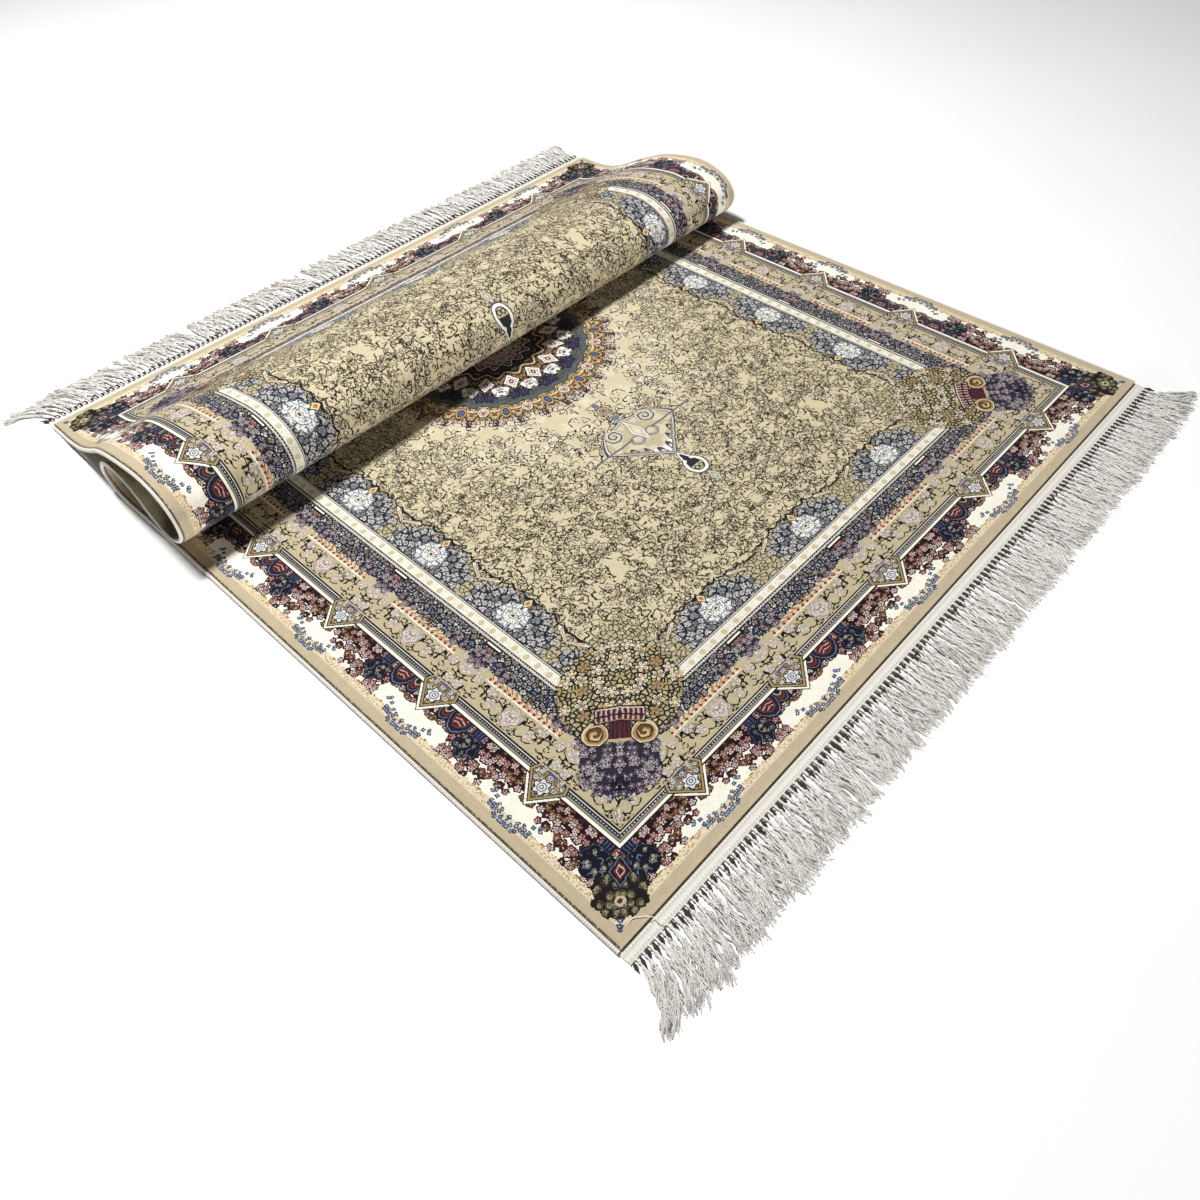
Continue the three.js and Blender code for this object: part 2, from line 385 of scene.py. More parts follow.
def posies(tree, x, y, size, seed=0.0, petals=5.0, scatter=0.8):
    """A crowd of flowers about size apart. Returns numbers by name: p, the cosine round a
    flower, 1 at a petal's middle and -1 between two; f, the distance from the nearest middle
    in sizes, less a little p, so that petals bulge; d, that distance plain; t, the cosine of
    the angle from a random side, so that a slice of f where t > 0 is a C-shaped stroke; c and
    o, two random numbers of each flower; cx and cy, the place of its middle."""
    spot = add(tree, "CombineXYZ", formula(tree, "x + s", x=x, s=seed), y)
    found = add(tree, "TexVoronoi", named={"Vector": spot, "Scale": 1 / size,
                                           "Randomness": scatter}, voronoi_dimensions="2D")
    chance = add(tree, "SeparateColor", found.node.outputs["Color"])
    middle = add(tree, "SeparateXYZ", found.node.outputs["Position"])
    names = {"c": chance, "o": chance.node.outputs[1], "cy": middle.node.outputs[1],
             "cx": formula(tree, "m - s", m=middle, s=seed), "d": found}
    turn = formula(tree, "angle(y - cy, x - cx)", x=x, y=y, **names)
    names["p"] = formula(tree, "cos(a * k + c * 6.3)", a=turn, k=petals, **names)
    names["t"] = formula(tree, "cos(a + o * 6.3)", a=turn, **names)
    work_out(tree, names, f="d - p * 0.08")
    return names


# %% [markdown]
# The carpet is woven of knots, so every pattern is read at the middle of its knot, and each
# knot takes the dye a little differently. Each finish starts from the same coordinates: how
# far in from the pile edge a knot lies, how far along that edge, and how far from the nearest
# diamond of the guard stripe. Diamonds come in two kinds in turn, so the distance is folded
# back and forth between the kinds, which also mirrors every motif about every diamond.

# %% Coordinates of the design
KNOT = 0.55                        # mm from knot to knot
SIDE_PITCH = 153.0                 # from diamond to diamond along the sides
END_PITCH = 158.3                  # and along the ends, up to the second diamond
END_WIDE_PITCH = 183.4             # and from there to the middle one
END_SECOND = 316.6


def start_finish(name):
    """A new material and its knot's place in the design: x, y exact, X, Y at the knot's middle,
    side and end the distances in from the pile's edges."""
    finish, tree = blank_finish(name)
    x, y, _ = stored(tree, "design")
    at = {"x": x, "y": y}
    at["X"] = formula(tree, "(floor(x / k) + 0.5) * k", k=KNOT, **at)
    at["Y"] = formula(tree, "(floor(y / k) + 0.5) * k", k=KNOT, **at)
    at["side"] = formula(tree, "h - abs(X)", h=HALF_WIDTH, **at)
    at["end"] = formula(tree, "h - abs(Y)", h=HALF_LENGTH, **at)
    return finish, tree, at


def start_pile(name):
    """Adds the places that borders need. D: distance in from the edge. Q: diamonds counted along
    the edge from the corner. W: 0 at an even diamond, SIDE_PITCH at an odd one. S: distance from
    the nearest one. G: distance from the nearest big white flower of the garland."""
    finish, tree, at = start_finish(name)
    at["E"] = formula(tree, "end / s", s=END_SQUEEZE, **at)
    at["D"] = formula(tree, "min(side, E)", **at)
    by_side = formula(tree, "side < E", **at)
    q_side = formula(tree, "end / p", p=SIDE_PITCH, **at)
    q_end = formula(tree, "min(side / p, 2 + (side - m) / w)", p=END_PITCH, m=END_SECOND,
                    w=END_WIDE_PITCH, **at)
    at["Q"] = add(tree, "Mix", by_side, None, q_end, q_side)
    at["W"] = formula(tree, "fold(Q, 1) * p", p=SIDE_PITCH, **at)
    at["S"] = formula(tree, "abs(Q - floor(Q + 0.5)) * p", p=SIDE_PITCH, **at)
    g_side = formula(tree, "fold(end - 322.5, 67.5)", **at)
    g_end = formula(tree, "fold(X, 82)", **at)
    at["G"] = add(tree, "Mix", by_side, None, g_end, g_side)
    return finish, tree, at


def finish_pile(finish, tree, colour, at):
    """Short dense wool pile: rough, with a soft silvery sheen where it is seen aslant."""
    spot = add(tree, "CombineXYZ", at["X"], at["Y"])
    knot = add(tree, "TexWhiteNoise", named={"Vector": spot}, noise_dimensions="3D")
    nap = wander(tree, at["x"], at["y"], 1.1, 2.0)
    lumps = wander(tree, at["x"], at["y"], 9.0, 2.0, 5.0)
    tone = formula(tree, "0.93 + (n - 0.5) * 0.34 + (m - 0.5) * 0.2 + (k - 0.5) * 0.17", n=nap,
                   m=lumps, k=knot)
    worn = add(tree, "HueSaturation", named={"Value": tone, "Color": colour})
    bump = add(tree, "Bump", named={"Strength": 0.4, "Distance": 0.0012,
               "Height": formula(tree, "n + m", n=nap, m=lumps)})
    shader = add(tree, "BsdfPrincipled", named={"Base Color": worn, "Roughness": 0.88,
                 "Sheen Weight": 0.25, "Sheen Roughness": 0.3, "Specular IOR Level": 0.15,
                 "Normal": bump})
    add(tree, "OutputMaterial", shader)
    print(f"{finish.name}: {len(tree.nodes)} nodes")
    return finish


# %% [markdown]
# The outer border is an ivory ground, crowded from the inside by clusters of small burgundy
# flowers, with navy arches and palmettes standing on the guard stripe. A cluster is a crowd of
# cells; a flower is drawn only where its middle lies in the cluster, so none is cut in half.

# %% Outer border: colours and clusters
IVORY = "#F3EFDF"
KHAKI = "#BFB093"
ORANGE = "#AB7B42"
BURGUNDY = "#52202A"
NAVY = "#171B36"
INK = "#1B171A"
DIAMOND_AT = 69.0                  # middle of a diamond, in from the edge
DIAMOND_TALL = 28.0                # half its size across the border
DIAMOND_WIDE = 24.0                # half its size along it
GUARD_LINES = [(0, INK), (64.2, IVORY), (67.4, INK), (68.6, "#8D877B"), (70.4, "#1E2236"),
               (74.8, "#CFCABD"), (76.0, INK), (77.4, "#BDB08E")]


def cluster_colours(tree, at):
    """Burgundy flowers on a nearly black ground, and where they are. They crowd in from the
    guard stripe, except over the two ivory places of each pair of diamonds."""
    W, D = at["W"], at["D"]
    flower = posies(tree, *sway(tree, W, D, 6.0, 1.4), 6.8, petals=5.0)
    lone = wander(tree, flower["cx"], flower["cy"], 11.0, 1.0, 3.0)
    names = {**at, **flower, "n": lone}
    odd = formula(tree, "(153 - cx + n * 26 - 13 < 42) * (cy + n * 22 - 11 < 40 - (153 - cx) * 0.2)",
                  **names)
    even = formula(tree, "(cx + n * 26 - 13 < 46) * (cy + n * 20 - 10 < 41) * (Q > 1.4)", **names)
    inside = formula(tree, "(a + b < 0.5) * (cy + n * 10 > 26)", a=odd, b=even, **names)
    crowd = layers(tree, "#1A1114", names, ("f < 0.52", BURGUNDY), ("f < 0.4", "#B98E88"),
                   ("(f < 0.4) * (o > 0.5)", "#DCCFC6"), ("(c > 0.86) * (f < 0.42)", "#7E6838"),
                   ("(c < 0.14) * (f < 0.5)", "#2E1D1C"), ("(f < 0.5) * (p < -0.6)", "#431720"),
                   ("near(f, 0.17, 0.05)", "#5A1826"), ("f < 0.08", "#E0D5C8"))
    shown = formula(tree, "i * (f < 0.66) + (i * (D > 46))", i=inside, **names)
    return crowd, shown


# %% Outer border: diamonds
def diamond_colours(tree, at):
    """A diamond and its rim number, 1 at its edge: straight sides outwards, round inwards."""
    place = {"S": at["S"], "D": at["D"], "c": DIAMOND_AT, "w": DIAMOND_WIDE, "t": DIAMOND_TALL}
    outer = formula(tree, "S / w + abs(D - c) / t", **place)
    inner = formula(tree, "root((S / w) ** 2 + ((D - c) / t) ** 2)", **place)
    rim = add(tree, "Mix", formula(tree, "D > c", **place), None, outer,
              formula(tree, "r * 0.6 + o * 0.4", r=inner, o=outer))
    flower = posies(tree, *sway(tree, at["S"], at["D"], 5.0, 1.2, 2.0), 5.4, 40.0)
    colour = layers(tree, "#A39770", {**place, **flower}, ("f < 0.6", INK), ("f < 0.44", "#D5D2C8"),
                    ("near(f, 0.24, 0.04)", "#596482"), ("(c < 0.3) * (f < 0.42)", "#4C5A84"),
                    ("(c > 0.76) * (f < 0.42)", "#94713C"), ("f < 0.12", "#7F2A26"))
    names = {**place, "r": formula(tree, "root(S * S + (D - 61) ** 2)", **place),
             "a": formula(tree, "angle(S, D - 61)", **place), "rim": rim}
    colour = layers(tree, colour, names,
                    ("r + cos(a * 6) * 1.3 < 8.6", INK), ("r + cos(a * 6) * 1.3 < 7.2", "#DAD9D2"),
                    ("near(r, 4.4, 0.6)", "#5A6688"), ("r < 2.2", INK), ("r < 1.3", "#DAD9D2"),
                    ("D < 50 + S * 0.2", "#7C5E34"),
                    ("root(S * S + (D - 87) ** 2) < 4.8", "#B08E48"),
                    ("root(S * S + (D - 87) ** 2) < 2.8", "#7F221F"),
                    ("rim > 0.78", INK), ("rim > 0.83", "#9C8C62"), ("rim > 0.94", INK))
    return colour, rim


# %% [markdown]
# Arches and palmettes stand on the guard stripe. Each is drawn from a number that is 1 on its
# outline: for an arch a stretched circle about its foot, for a palmette a circle with five
# lobes, filled with small curled strokes. One number gives outline, rim and filling together,
# where drawn outlines would have to be fitted to each other.

# %% Outer border: arches and palmettes
def arch_colours(tree, colour, at):
    """Navy arches with red bars, each with a half arch behind, and a scroll palmette beside."""
    w, d = sway(tree, at["W"], at["D"], 5.0, 1.4, 7.0)
    names = {"w": w, "v": d, "Q": at["Q"], **posies(tree, w, d, 6.4, 81.0, 4.0, 0.9)}
    work_out(tree, names, a="root(((w - 43) / 14) ** 2 + ((v - 64) / 21) ** 2) + (Q < 1.4)",
             h="root(((w - 24) / 10) ** 2 + ((v - 64) / 19) ** 2) + (Q < 1.4)",
             p="root(((w - 69) / 14) ** 2 + ((v - 43) / 14) ** 2) + cos(angle(w - 69, v - 43) * 5) * "
               "0.09",
             b="fract(v / 4.4 + abs(w - 43) * 0.07)")
    return layers(
        tree, colour, names, ("h < 1", INK), ("near(h, 0.82, 0.035)", "#5A6580"),
        ("near(h, 0.6, 0.07)", "#6B2F28"), ("near(h, 0.36, 0.06)", "#9C9486"),
        ("a < 1.06", INK), ("near(a, 0.93, 0.03)", "#67728E"), ("near(a, 0.76, 0.06)", "#1B2038"),
        ("near(a, 0.63, 0.03)", "#7E4430"), ("(b < 0.55) * (a < 0.56)", "#6A1D28"),
        ("near(b, 0.75, 0.1) * (a < 0.56)", "#C3BCB0"),
        ("near(w, 69, 7) * (v > 52)", NAVY),
        ("near(w, 69, 6.5) * (v > 52) * (fract(w / 3.4) < 0.22)", "#5F6B86"),
        ("near(w, 60.2, 1) * (v > 47)", "#84503A"),
        ("p < 1.02", "#131420"), ("(p < 0.9) * (o > 0.55) * (d < 0.4)", "#847B5A"),
        ("(p < 0.95) * near(d, 0.36, 0.055) * (t > -0.2)", "#6F7788"),
        ("(p < 0.95) * (d < 0.13) * (c > 0.4)", "#ABA187"),
        ("near(p, 0.86, 0.025)", "#3A4159"))


# %% Outer border: its very corner
def corner_scrolls(tree, colour, at):
    """The ornament in the very corner: a shield on the diagonal, between two navy palmettes,
    on olive scrolls."""
    x, y = sway(tree, at["side"], at["E"], 5.0, 1.6, 3.0)
    a = formula(tree, "(x + y) * 0.7071", x=x, y=y)
    b = formula(tree, "abs(x - y) * 0.7071", x=x, y=y)
    names = {"a": a, "b": b, **posies(tree, a, b, 8.6, 23.0, 4.0, 0.9)}
    names["w"] = wander(tree, a, b, 7.0, 1.5, 11.0)
    work_out(tree, names, h="b / 10 + abs(a - 70) / 15",
             r="root((b / 27) ** 2 + ((a - 54) / 29) ** 2) + (w - 0.5) * 0.5",
             q="root(((b - 23) / 15) ** 2 + ((a - 78) / 14) ** 2) + (w - 0.5) * 0.3")
    return layers(
        tree, colour, names, ("r < 1", "#1D181A"), ("(r < 0.95) * (d < 0.42)", "#6F6648"),
        ("(r < 0.95) * (d < 0.42) * (c > 0.6)", "#54422C"),
        ("(r < 0.95) * near(d, 0.3, 0.06) * (t > -0.6)", "#16131A"),
        ("(r < 0.95) * near(d, 0.22, 0.05) * (t < 0.3)", "#A0966F"),
        ("(r < 0.93) * (d < 0.13) * (o > 0.5)", "#47557E"),
        ("q < 1", "#131420"), ("(q < 0.95) * near(d, 0.34, 0.055) * (t > -0.3)", "#6B7386"),
        ("(q < 0.95) * (d < 0.2) * (o > 0.4)", "#9F9674"),
        ("h < 1.2", INK), ("near(h, 0.98, 0.06)", "#626B80"), ("h < 0.66", "#642226"),
        ("near(h, 0.4, 0.07)", "#BDB3A2"), ("h < 0.2", "#4A1E26"),
        ("root(b * b + (a - 42) ** 2) < 5", "#C1B795"),
        ("root(b * b + (a - 42) ** 2) < 2.6", "#5E2430"))


# %% Outer border: the whole stripe
def border_finish():
    """Ivory ground and plain edge, then clusters, sprays, arches, guard stripe and diamonds."""
    finish, tree, at = start_pile("woven pile, outer border")
    names = {**at}
    names["m"] = wander(tree, at["X"], at["Y"], 1.9, 1.0, 8.0)
    names["d"] = wander(tree, at["W"], 0.0, 6.0)
    # plain edge, stippled ivory and the broken orange line
    colour = layers(tree, IVORY, names, ("D < 21", "#E2D6BA"), ("(D < 21) * (m > 0.55)", "#BD9A66"),
                    ("D < 12.6", KHAKI), ("(side < 1.4) * (m > 0.42)", "#6E5C48"),
                    ("near(D, 21, 0.9) * (d > 0.52)", ORANGE),
                    ("near(D, 12.8, 0.5)", "#D9CDAE"))
    # the burgundy clusters
    crowd, shown = cluster_colours(tree, at)
    colour = layers(tree, colour, {"i": shown}, ("i", crowd))
    # sprays of blue flowers outside the diamonds' tips
    spray = posies(tree, *sway(tree, at["S"], at["D"], 6.0, 1.5, 9.0), 4.9, 17.0, 4.0, 0.9)
    place = {**at, **spray}
    work_out(tree, place, u="(abs(cy - 15 - 0.016 * (cx - 2) ** 2) < 7.5 - cx * 0.08) * (cx < 33)")
    colour = layers(tree, colour, place, ("u * (f < 0.46) * (c > 0.12)", "#2B3A5A"),
                    ("u * (f < 0.27) * (c > 0.3)", "#5F7192"), ("u * (f < 0.09)", "#DCDACF"))
    colour = corner_scrolls(tree, arch_colours(tree, colour, at), at)
    # ivory chevron outside the odd diamonds, then the guard stripe and the diamonds
    names["v"] = formula(tree, "S / w + (c - D) / t", w=DIAMOND_WIDE, c=DIAMOND_AT,
                         t=DIAMOND_TALL, **at)
    colour = layers(tree, colour, names, ("(v < 1.17) * (Q > 0.5)", INK),
                    ("(v < 1.12) * (Q > 0.5)", IVORY))
    guard = layers(tree, stripes(tree, at["D"], GUARD_LINES), at,
                   ("(fract(W / 3.4) < 0.5) * near(D, 72.6, 0.7)", "#B9B5AA"))
    diamond, rim = diamond_colours(tree, at)
    colour = layers(tree, colour, {**at, "r": rim}, ("D > 63.4", guard),
                    ("(r < 1) * (Q > 0.5)", diamond))
    return finish_pile(finish, tree, colour, at)

# %% [markdown]
# Inside the guard stripe come a beige band with grey-pink flowers and black brush strokes, a
# narrow peach stripe with red dots, a blue and lavender band, and an ivory stripe with tan
# dots. A brush stroke is an arc round a flower: a ring of its shape number, cut by its angle.

# %% Inner bands: beige
BEIGE = "#BCAF8E"
SECOND_GUARD = [(0, "#C9C6BC"), (148.0, INK), (149.2, "#ECE8DA"), (161.2, INK),
                (162.4, "#DDD9CB"), (164.0, INK), (165.2, BEIGE)]


def beige_band(tree, at):
    """Grey-pink flowers in two rows, a larger one half way between the diamonds, among bold
    black brush strokes."""
    s, v = sway(tree, at["S"], at["D"], 6.0, 2.4, 4.0)
    names = {**at, **posies(tree, s, v, 14.0, 31.0, 5.0, 0.8), "s": s, "v": v}
    names["n"] = wander(tree, s, v, 3.0, 1.0, 6.0)
    names["g"] = formula(tree, "(root((76 - s) ** 2 + (v - 94) ** 2) / 30) - "
                         "abs(cos(angle(76 - s, v - 94) * 3)) * 0.06", **names)
    names["b"] = formula(tree, "min(f + (abs(76 - S) < 16) * 0.3 + (o > 0.72) * 0.3, g)", **names)
    names["z"] = formula(tree, "(D < 106) * (D > 79)", **at)
    colour = layers(
        tree, BEIGE, names, ("near(d, 0.46, 0.065) * (t > 0) * z", "#110E0F"),
        ("near(d, 0.6, 0.045) * (t < -0.6) * z", "#231E1D"),
        ("b < 0.36", "#8A7D71"), ("b < 0.33", "#D6CCC2"), ("(b < 0.33) * (n > 0.55)", "#B5A79C"),
        ("(b < 0.33) * (p < -0.75)", "#8F8278"), ("near(b, 0.15, 0.02)", "#9A8C84"))
    small = posies(tree, s, v, 9.5, 55.0, 5.0, 0.9)
    return layers(
        tree, colour, {**names, **small},
        ("near(d, 0.38, 0.095) * (t > 0.15) * z * (b > 0.4) * (o > 0.2)", "#110E0F"),
        ("near(d, 0.24, 0.07) * (t < -0.2) * z * (b > 0.42) * (o > 0.5)", "#2A2421"))


# %% Inner bands: blue, and how the three meet
def blue_band(tree, at):
    """Small cells of slate, lavender, cream and ochre, each in a dark outline, in mirrored
    scales; mauve flowers gather before each diamond."""
    w, d = sway(tree, at["W"], at["D"], 5.0, 1.5, 9.0)
    cell = posies(tree, w, d, 5.8, 53.0, 4.0, 0.85)
    names = {**at, **cell, "r": cell_edges(tree, w, d, 5.8, 53.0, 0.85)}
    return layers(
        tree, "#6B7388", names, ("c > 0.36", "#9C9A97"), ("c > 0.6", "#414C68"),
        ("o > 0.72", "#94897F"), ("(o > 0.84) * (D < 136)", "#94794E"), ("c < 0.22", "#D2CCBF"),
        ("near(f, 0.3, 0.05) * (o < 0.75)", "#CCC9C2"), ("(p < -0.6) * (f > 0.12)", "#2C2C3A"),
        ("f < 0.13", "#262630"), ("r < 0.14", "#1B1A22"))


def band_colours(tree, at):
    """The beige band, the peach stripe and the blue band, their meeting lines wavy with noise."""
    names = {**at}
    names["n"] = wander(tree, at["W"], at["D"], 8.0, 1.5, 9.0)
    names["m"] = wander(tree, at["W"], at["D"], 3.0, 1.0, 2.0)
    # peach stripe with red dots, orange slashes on its inner side
    stripe = layers(
        tree, "#D5C4A6", names, ("m > 0.56", "#B99A72"), ("near(D, 109.2, 0.8) * (m > 0.4)", IVORY),
        ("root(fold(W, 3.5) ** 2 + (D - 111.8) ** 2) < 1.7", "#7C2A2A"),
        ("near(fract(W / 7 + D / 7), 0.5, 0.14) * (D > 113.4)", "#8F6238"))
    colour = layers(
        tree, beige_band(tree, at), names,
        ("(D > 108.4) * (S + (n - 0.5) * 12 > 26)", stripe),
        ("D + (n - 0.5) * 12 > 117.5 + near(S, 12, 6) * 3", blue_band(tree, at)))
    # mauve flowers before each diamond, and the barred plate behind them
    flower = posies(tree, *sway(tree, at["S"], at["D"], 5.0, 1.6, 5.0), 6.2, 67.0)
    place = {**names, **flower}
    work_out(tree, place,
             z="max(root((cx / 1.05) ** 2 + (cy - 126) ** 2) < 14, near(cx, 37, 12) * "
               "near(cy, 123, 10 - abs(cx - 37) * 0.35))")
    return layers(
        tree, colour, {**place, "w": formula(tree, "fold(W, 8.5)", **at)},
        ("z", "#241E24"), ("z * (f < 0.48)", "#7A6C72"), ("z * (f < 0.42) * (c > 0.5)", "#ABA09F"),
        ("z * (p < -0.7) * (f > 0.1)", "#2A232E"),
        ("z * near(f, 0.25, 0.04)", "#463A4C"), ("z * (f < 0.12)", "#B7AEB2"),
        ("near(D, 142, 3.6) * (S < 12)", INK), ("near(D, 142.5, 1) * (S < 9.5)", IVORY),
        ("near(D, 136, 1.2) * (S < 6)", "#8E4A3A"))


# %% Inner bands: the stripe that closes them
def second_guard(tree, colour, at):
    """Ivory stripe with tan dots between dotted dark lines."""
    stripe = layers(
        tree, stripes(tree, at["D"], SECOND_GUARD),
        {**at, "n": wander(tree, at["W"], at["D"], 3.0, 1.0)},
        ("near(n, 0.5, 0.03) * near(D, 155.3, 4.6)", "#CFC7AE"),
        ("root(fold(W, 8.5) ** 2 + ((D - 155.6) * 0.8) ** 2) < 3.2", "#C9BD9C"),
        ("(fract(W / 3.4) < 0.4) * max(near(D, 148.6, 0.6), near(D, 161.8, 0.6))", "#CFCABB"))
    return layers(tree, colour, at, ("D > 145.8", stripe))


def bands_finish():
    """The inner bands with the ivory stripe that closes them."""
    finish, tree, at = start_pile("woven pile, inner bands")
    return finish_pile(finish, tree, second_guard(tree, band_colours(tree, at), at), at)


# %% [markdown]
# The field is beige, grown over with fine leafwork in dark brown. It lies dense between plain
# islands near the borders and thins out to loose strokes towards the medallion. Lines drawn one
# by one would be truer, but there are thousands of them. Here each is a C-shaped slice of a
# ring round one of many scattered middles, in three sizes, and near the medallion a cream one
# lies beside it, a painted highlight for the lit side of a carved ridge. The field is mirrored
# about both middle lines.

# %% Field: leafwork
FIELD = "#CEC2A1"


def field_colours(tree, at):
    """i is the distance from the carpet's middle in stretched mm; l is 1 where leafwork grows,
    read at each stroke's own middle, so that no stroke is cut off."""
    x, y = sway(tree, formula(tree, "abs(X)", **at), formula(tree, "abs(Y)", **at), 7.0, 3.0, 4.0)
    i = formula(tree, "root((x / 1.05) ** 2 + (y / 1.3) ** 2)", x=x, y=y)
    cloud = wander(tree, x, y, 16.0, 2.0, 9.0)
    near = formula(tree, "max(0, min(1, (280 - i) / 90))", i=i)
    vine = wander(tree, x, y, 20.0, 2.5, 17.0)
    gap = wander(tree, x, y, 9.0, 1.0, 27.0)
    colour = layers(tree, FIELD, {"i": i, "w": cloud, "m": near, "v": vine, "g": gap},
                    ("m * (w > 0.5) * 0.4", "#D3C9AE"), ("m * (w > 0.6) * 0.5", "#E0D8C4"),
                    ("near(v, 0.5, 0.013) * (g > 0.42) * (i > 190)", "#453C30"),
                    ("near(v, 0.6, 0.013) * (g < 0.56) * (i > 170)", "#4B4235"))
    for size, seed, start, wide, dark in ((16.0, 30.0, -0.7, 0.9, "#2C241B"),
                                          (9.5, 47.0, 0.3, 0.66, "#332A20"),
                                          (5.8, 12.0, 0.85, 0.54, "#3A3126")):
        stroke = posies(tree, x, y, size, seed, 3.0, 0.95)
        stroke["n"] = wander(tree, stroke["cx"], stroke["cy"], 34.0, 2.0, 30.0)
        stroke["m"] = near
        stroke["l"] = formula(
            tree, "min(1, (root((cx / 1.05) ** 2 + (cy / 1.3) ** 2) - 135) / 130) + "
            "(n - 0.5) * 7.5 > k", k=start, **stroke)
        # painted highlight: a cream stroke beside each dark one, as on the lit side of a carved ridge,
        # strongest near the medallion
        light = (f"l * near(f, 0.34 - {1.9 * wide / size:.3f}, {wide / size:.3f}) * (t > 0) "
                 "* (0.1 + m * 0.9)")
        colour = layers(
            tree, colour, stroke, (light, "#DDD4BC"),
            (f"l * near(f, 0.36, {wide / size:.3f}) * (t > -0.15)", dark),
            (f"l * near(f, 0.19, {0.8 * wide / size:.3f}) * (t < -0.2) * (o > 0.3)", dark))
    return colour


# %% Field: what hangs from the medallion
def pendant_colours(tree, colour, at):
    """What hangs on the long axis from the medallion's tip: a rosette, a barred cartouche, a
    white drop and a small diamond. v is the distance from the carpet's end, u from the axis."""
    u, v = sway(tree, formula(tree, "abs(X)", X=at["X"]), at["end"], 9.0, 1.6, 2.0)
    names = {"u": u, "v": v, "U": formula(tree, "abs(X)", X=at["X"]), "V": at["end"]}
    lower = formula(tree, "u / 62 + (418 - v) / 58 + abs(sin((v - u) * 0.11)) * 0.12", **names)
    upper = formula(tree, "root((u / 64) ** 2 + ((v - 416) / 40) ** 2) + "
                    "abs(sin(u * 0.085)) * 0.13", **names)
    names["s"] = add(tree, "Mix", formula(tree, "v > 418", **names), None, lower, upper)
    names["n"] = wander(tree, u, v, 12.0, 1.0, 3.0)
    work_out(tree, names, e="root((u - 29) ** 2 + (v - 441) ** 2)",
             z="fract(e / 6.4 + angle(u - 29, v - 441) * 0.159)",
             h="u / 9 + abs(v - 428) / 26",
             d="min(root(u * u + ((v - 331) * 0.8) ** 2), u * 2 + abs(v - 346) * 0.75)",
             g="U / 6.5 + abs(V - 301) / 12.5",
             o="root(U * U + (V - 487) ** 2)")
    return layers(
        tree, colour, names,
        ("s < 1.1", "#47484D"), ("s < 1.05", "#D8D6CC"), ("s < 1.01", "#6E6F72"),
        ("s < 0.975", "#BDB08E"),
        ("(s < 0.97) * (n > 0.5)", "#CFC6AC"),
        ("(s < 0.93) * (v < 412) * (v < 372 + u * 0.5 + n * 16)", "#EDEBE2"),
        ("near(root(((s - 0.84) * 48) ** 2 + ((fract(u / 13) - 0.5) * 13) ** 2), 3.4, 1) * (v < 410)",
         "#45464D"),
        ("near(s, 0.93, 0.02) * (v < 410)", "#55565C"),
        ("(e < 12.5) * (s < 1.1)", "#C3BB9F"), ("(e < 12.5) * (z < 0.36)", "#54565E"),
        ("(e < 12.5) * near(z, 0.52, 0.1)", "#D2D2CD"),
        ("near(root((u - 13) ** 2 + (v - 414) ** 2), 8, 1.8) * (v > 396)", "#83858B"),
        ("h < 1.15", "#8C8D8E"), ("h < 1", "#DAD4BE"), ("near(h, 0.55, 0.1)", "#B9AF90"),
        ("near(v, 419, 1.5) * (u < 88) * (u > 17)", "#6B6D72"),
        ("near(v, 466, 6 - u * 0.7) * (u < 7)", "#6D7484"),
        ("near(V, 504, 14) * (U < 1.6 + (V - 490) * 0.1)", "#6D7484"),
        ("near(fract(angle(U, V - 487) * 2.55), 0.5, 0.1) * near(o, 11.5, 3)", "#9B7A4C"),
        ("o < 8.6", "#3F4150"), ("o < 7.2", "#B9BCC4"), ("o < 5.6", "#59432E"), ("o < 4.4", "#B98A48"),
        ("o < 2", "#7F2A26"),
        ("d < 15", "#3D3D42"), ("d < 13.6", "#F1EFE6"), ("d < 9.8", "#2B2B30"),
        ("(d < 8.4) * (v < 331)", "#C2B694"),
        ("near(root((u - 3.6) ** 2 + (v - 326) ** 2), 2.8, 0.9)", "#303036"),
        ("g < 1.15", "#66675F"), ("g < 0.95", "#CBC7B4"), ("near(g, 0.5, 0.12)", "#85857C"))


def field_finish():
    """The leafwork with the pendant over it."""
    finish, tree, at = start_pile("woven pile, field")
    return finish_pile(finish, tree, pendant_colours(tree, field_colours(tree, at), at), at)


# %% [markdown]
# The garland is a row of big white flowers, each in a drift of small white and grey ones with
# navy outlines. Between the drifts a net shows, and a dark scalloped line closes it towards
# the field. A big flower is the distance from its middle plus a wave of the angle round it, so
# a wave of seven half turns draws seven petals at once.

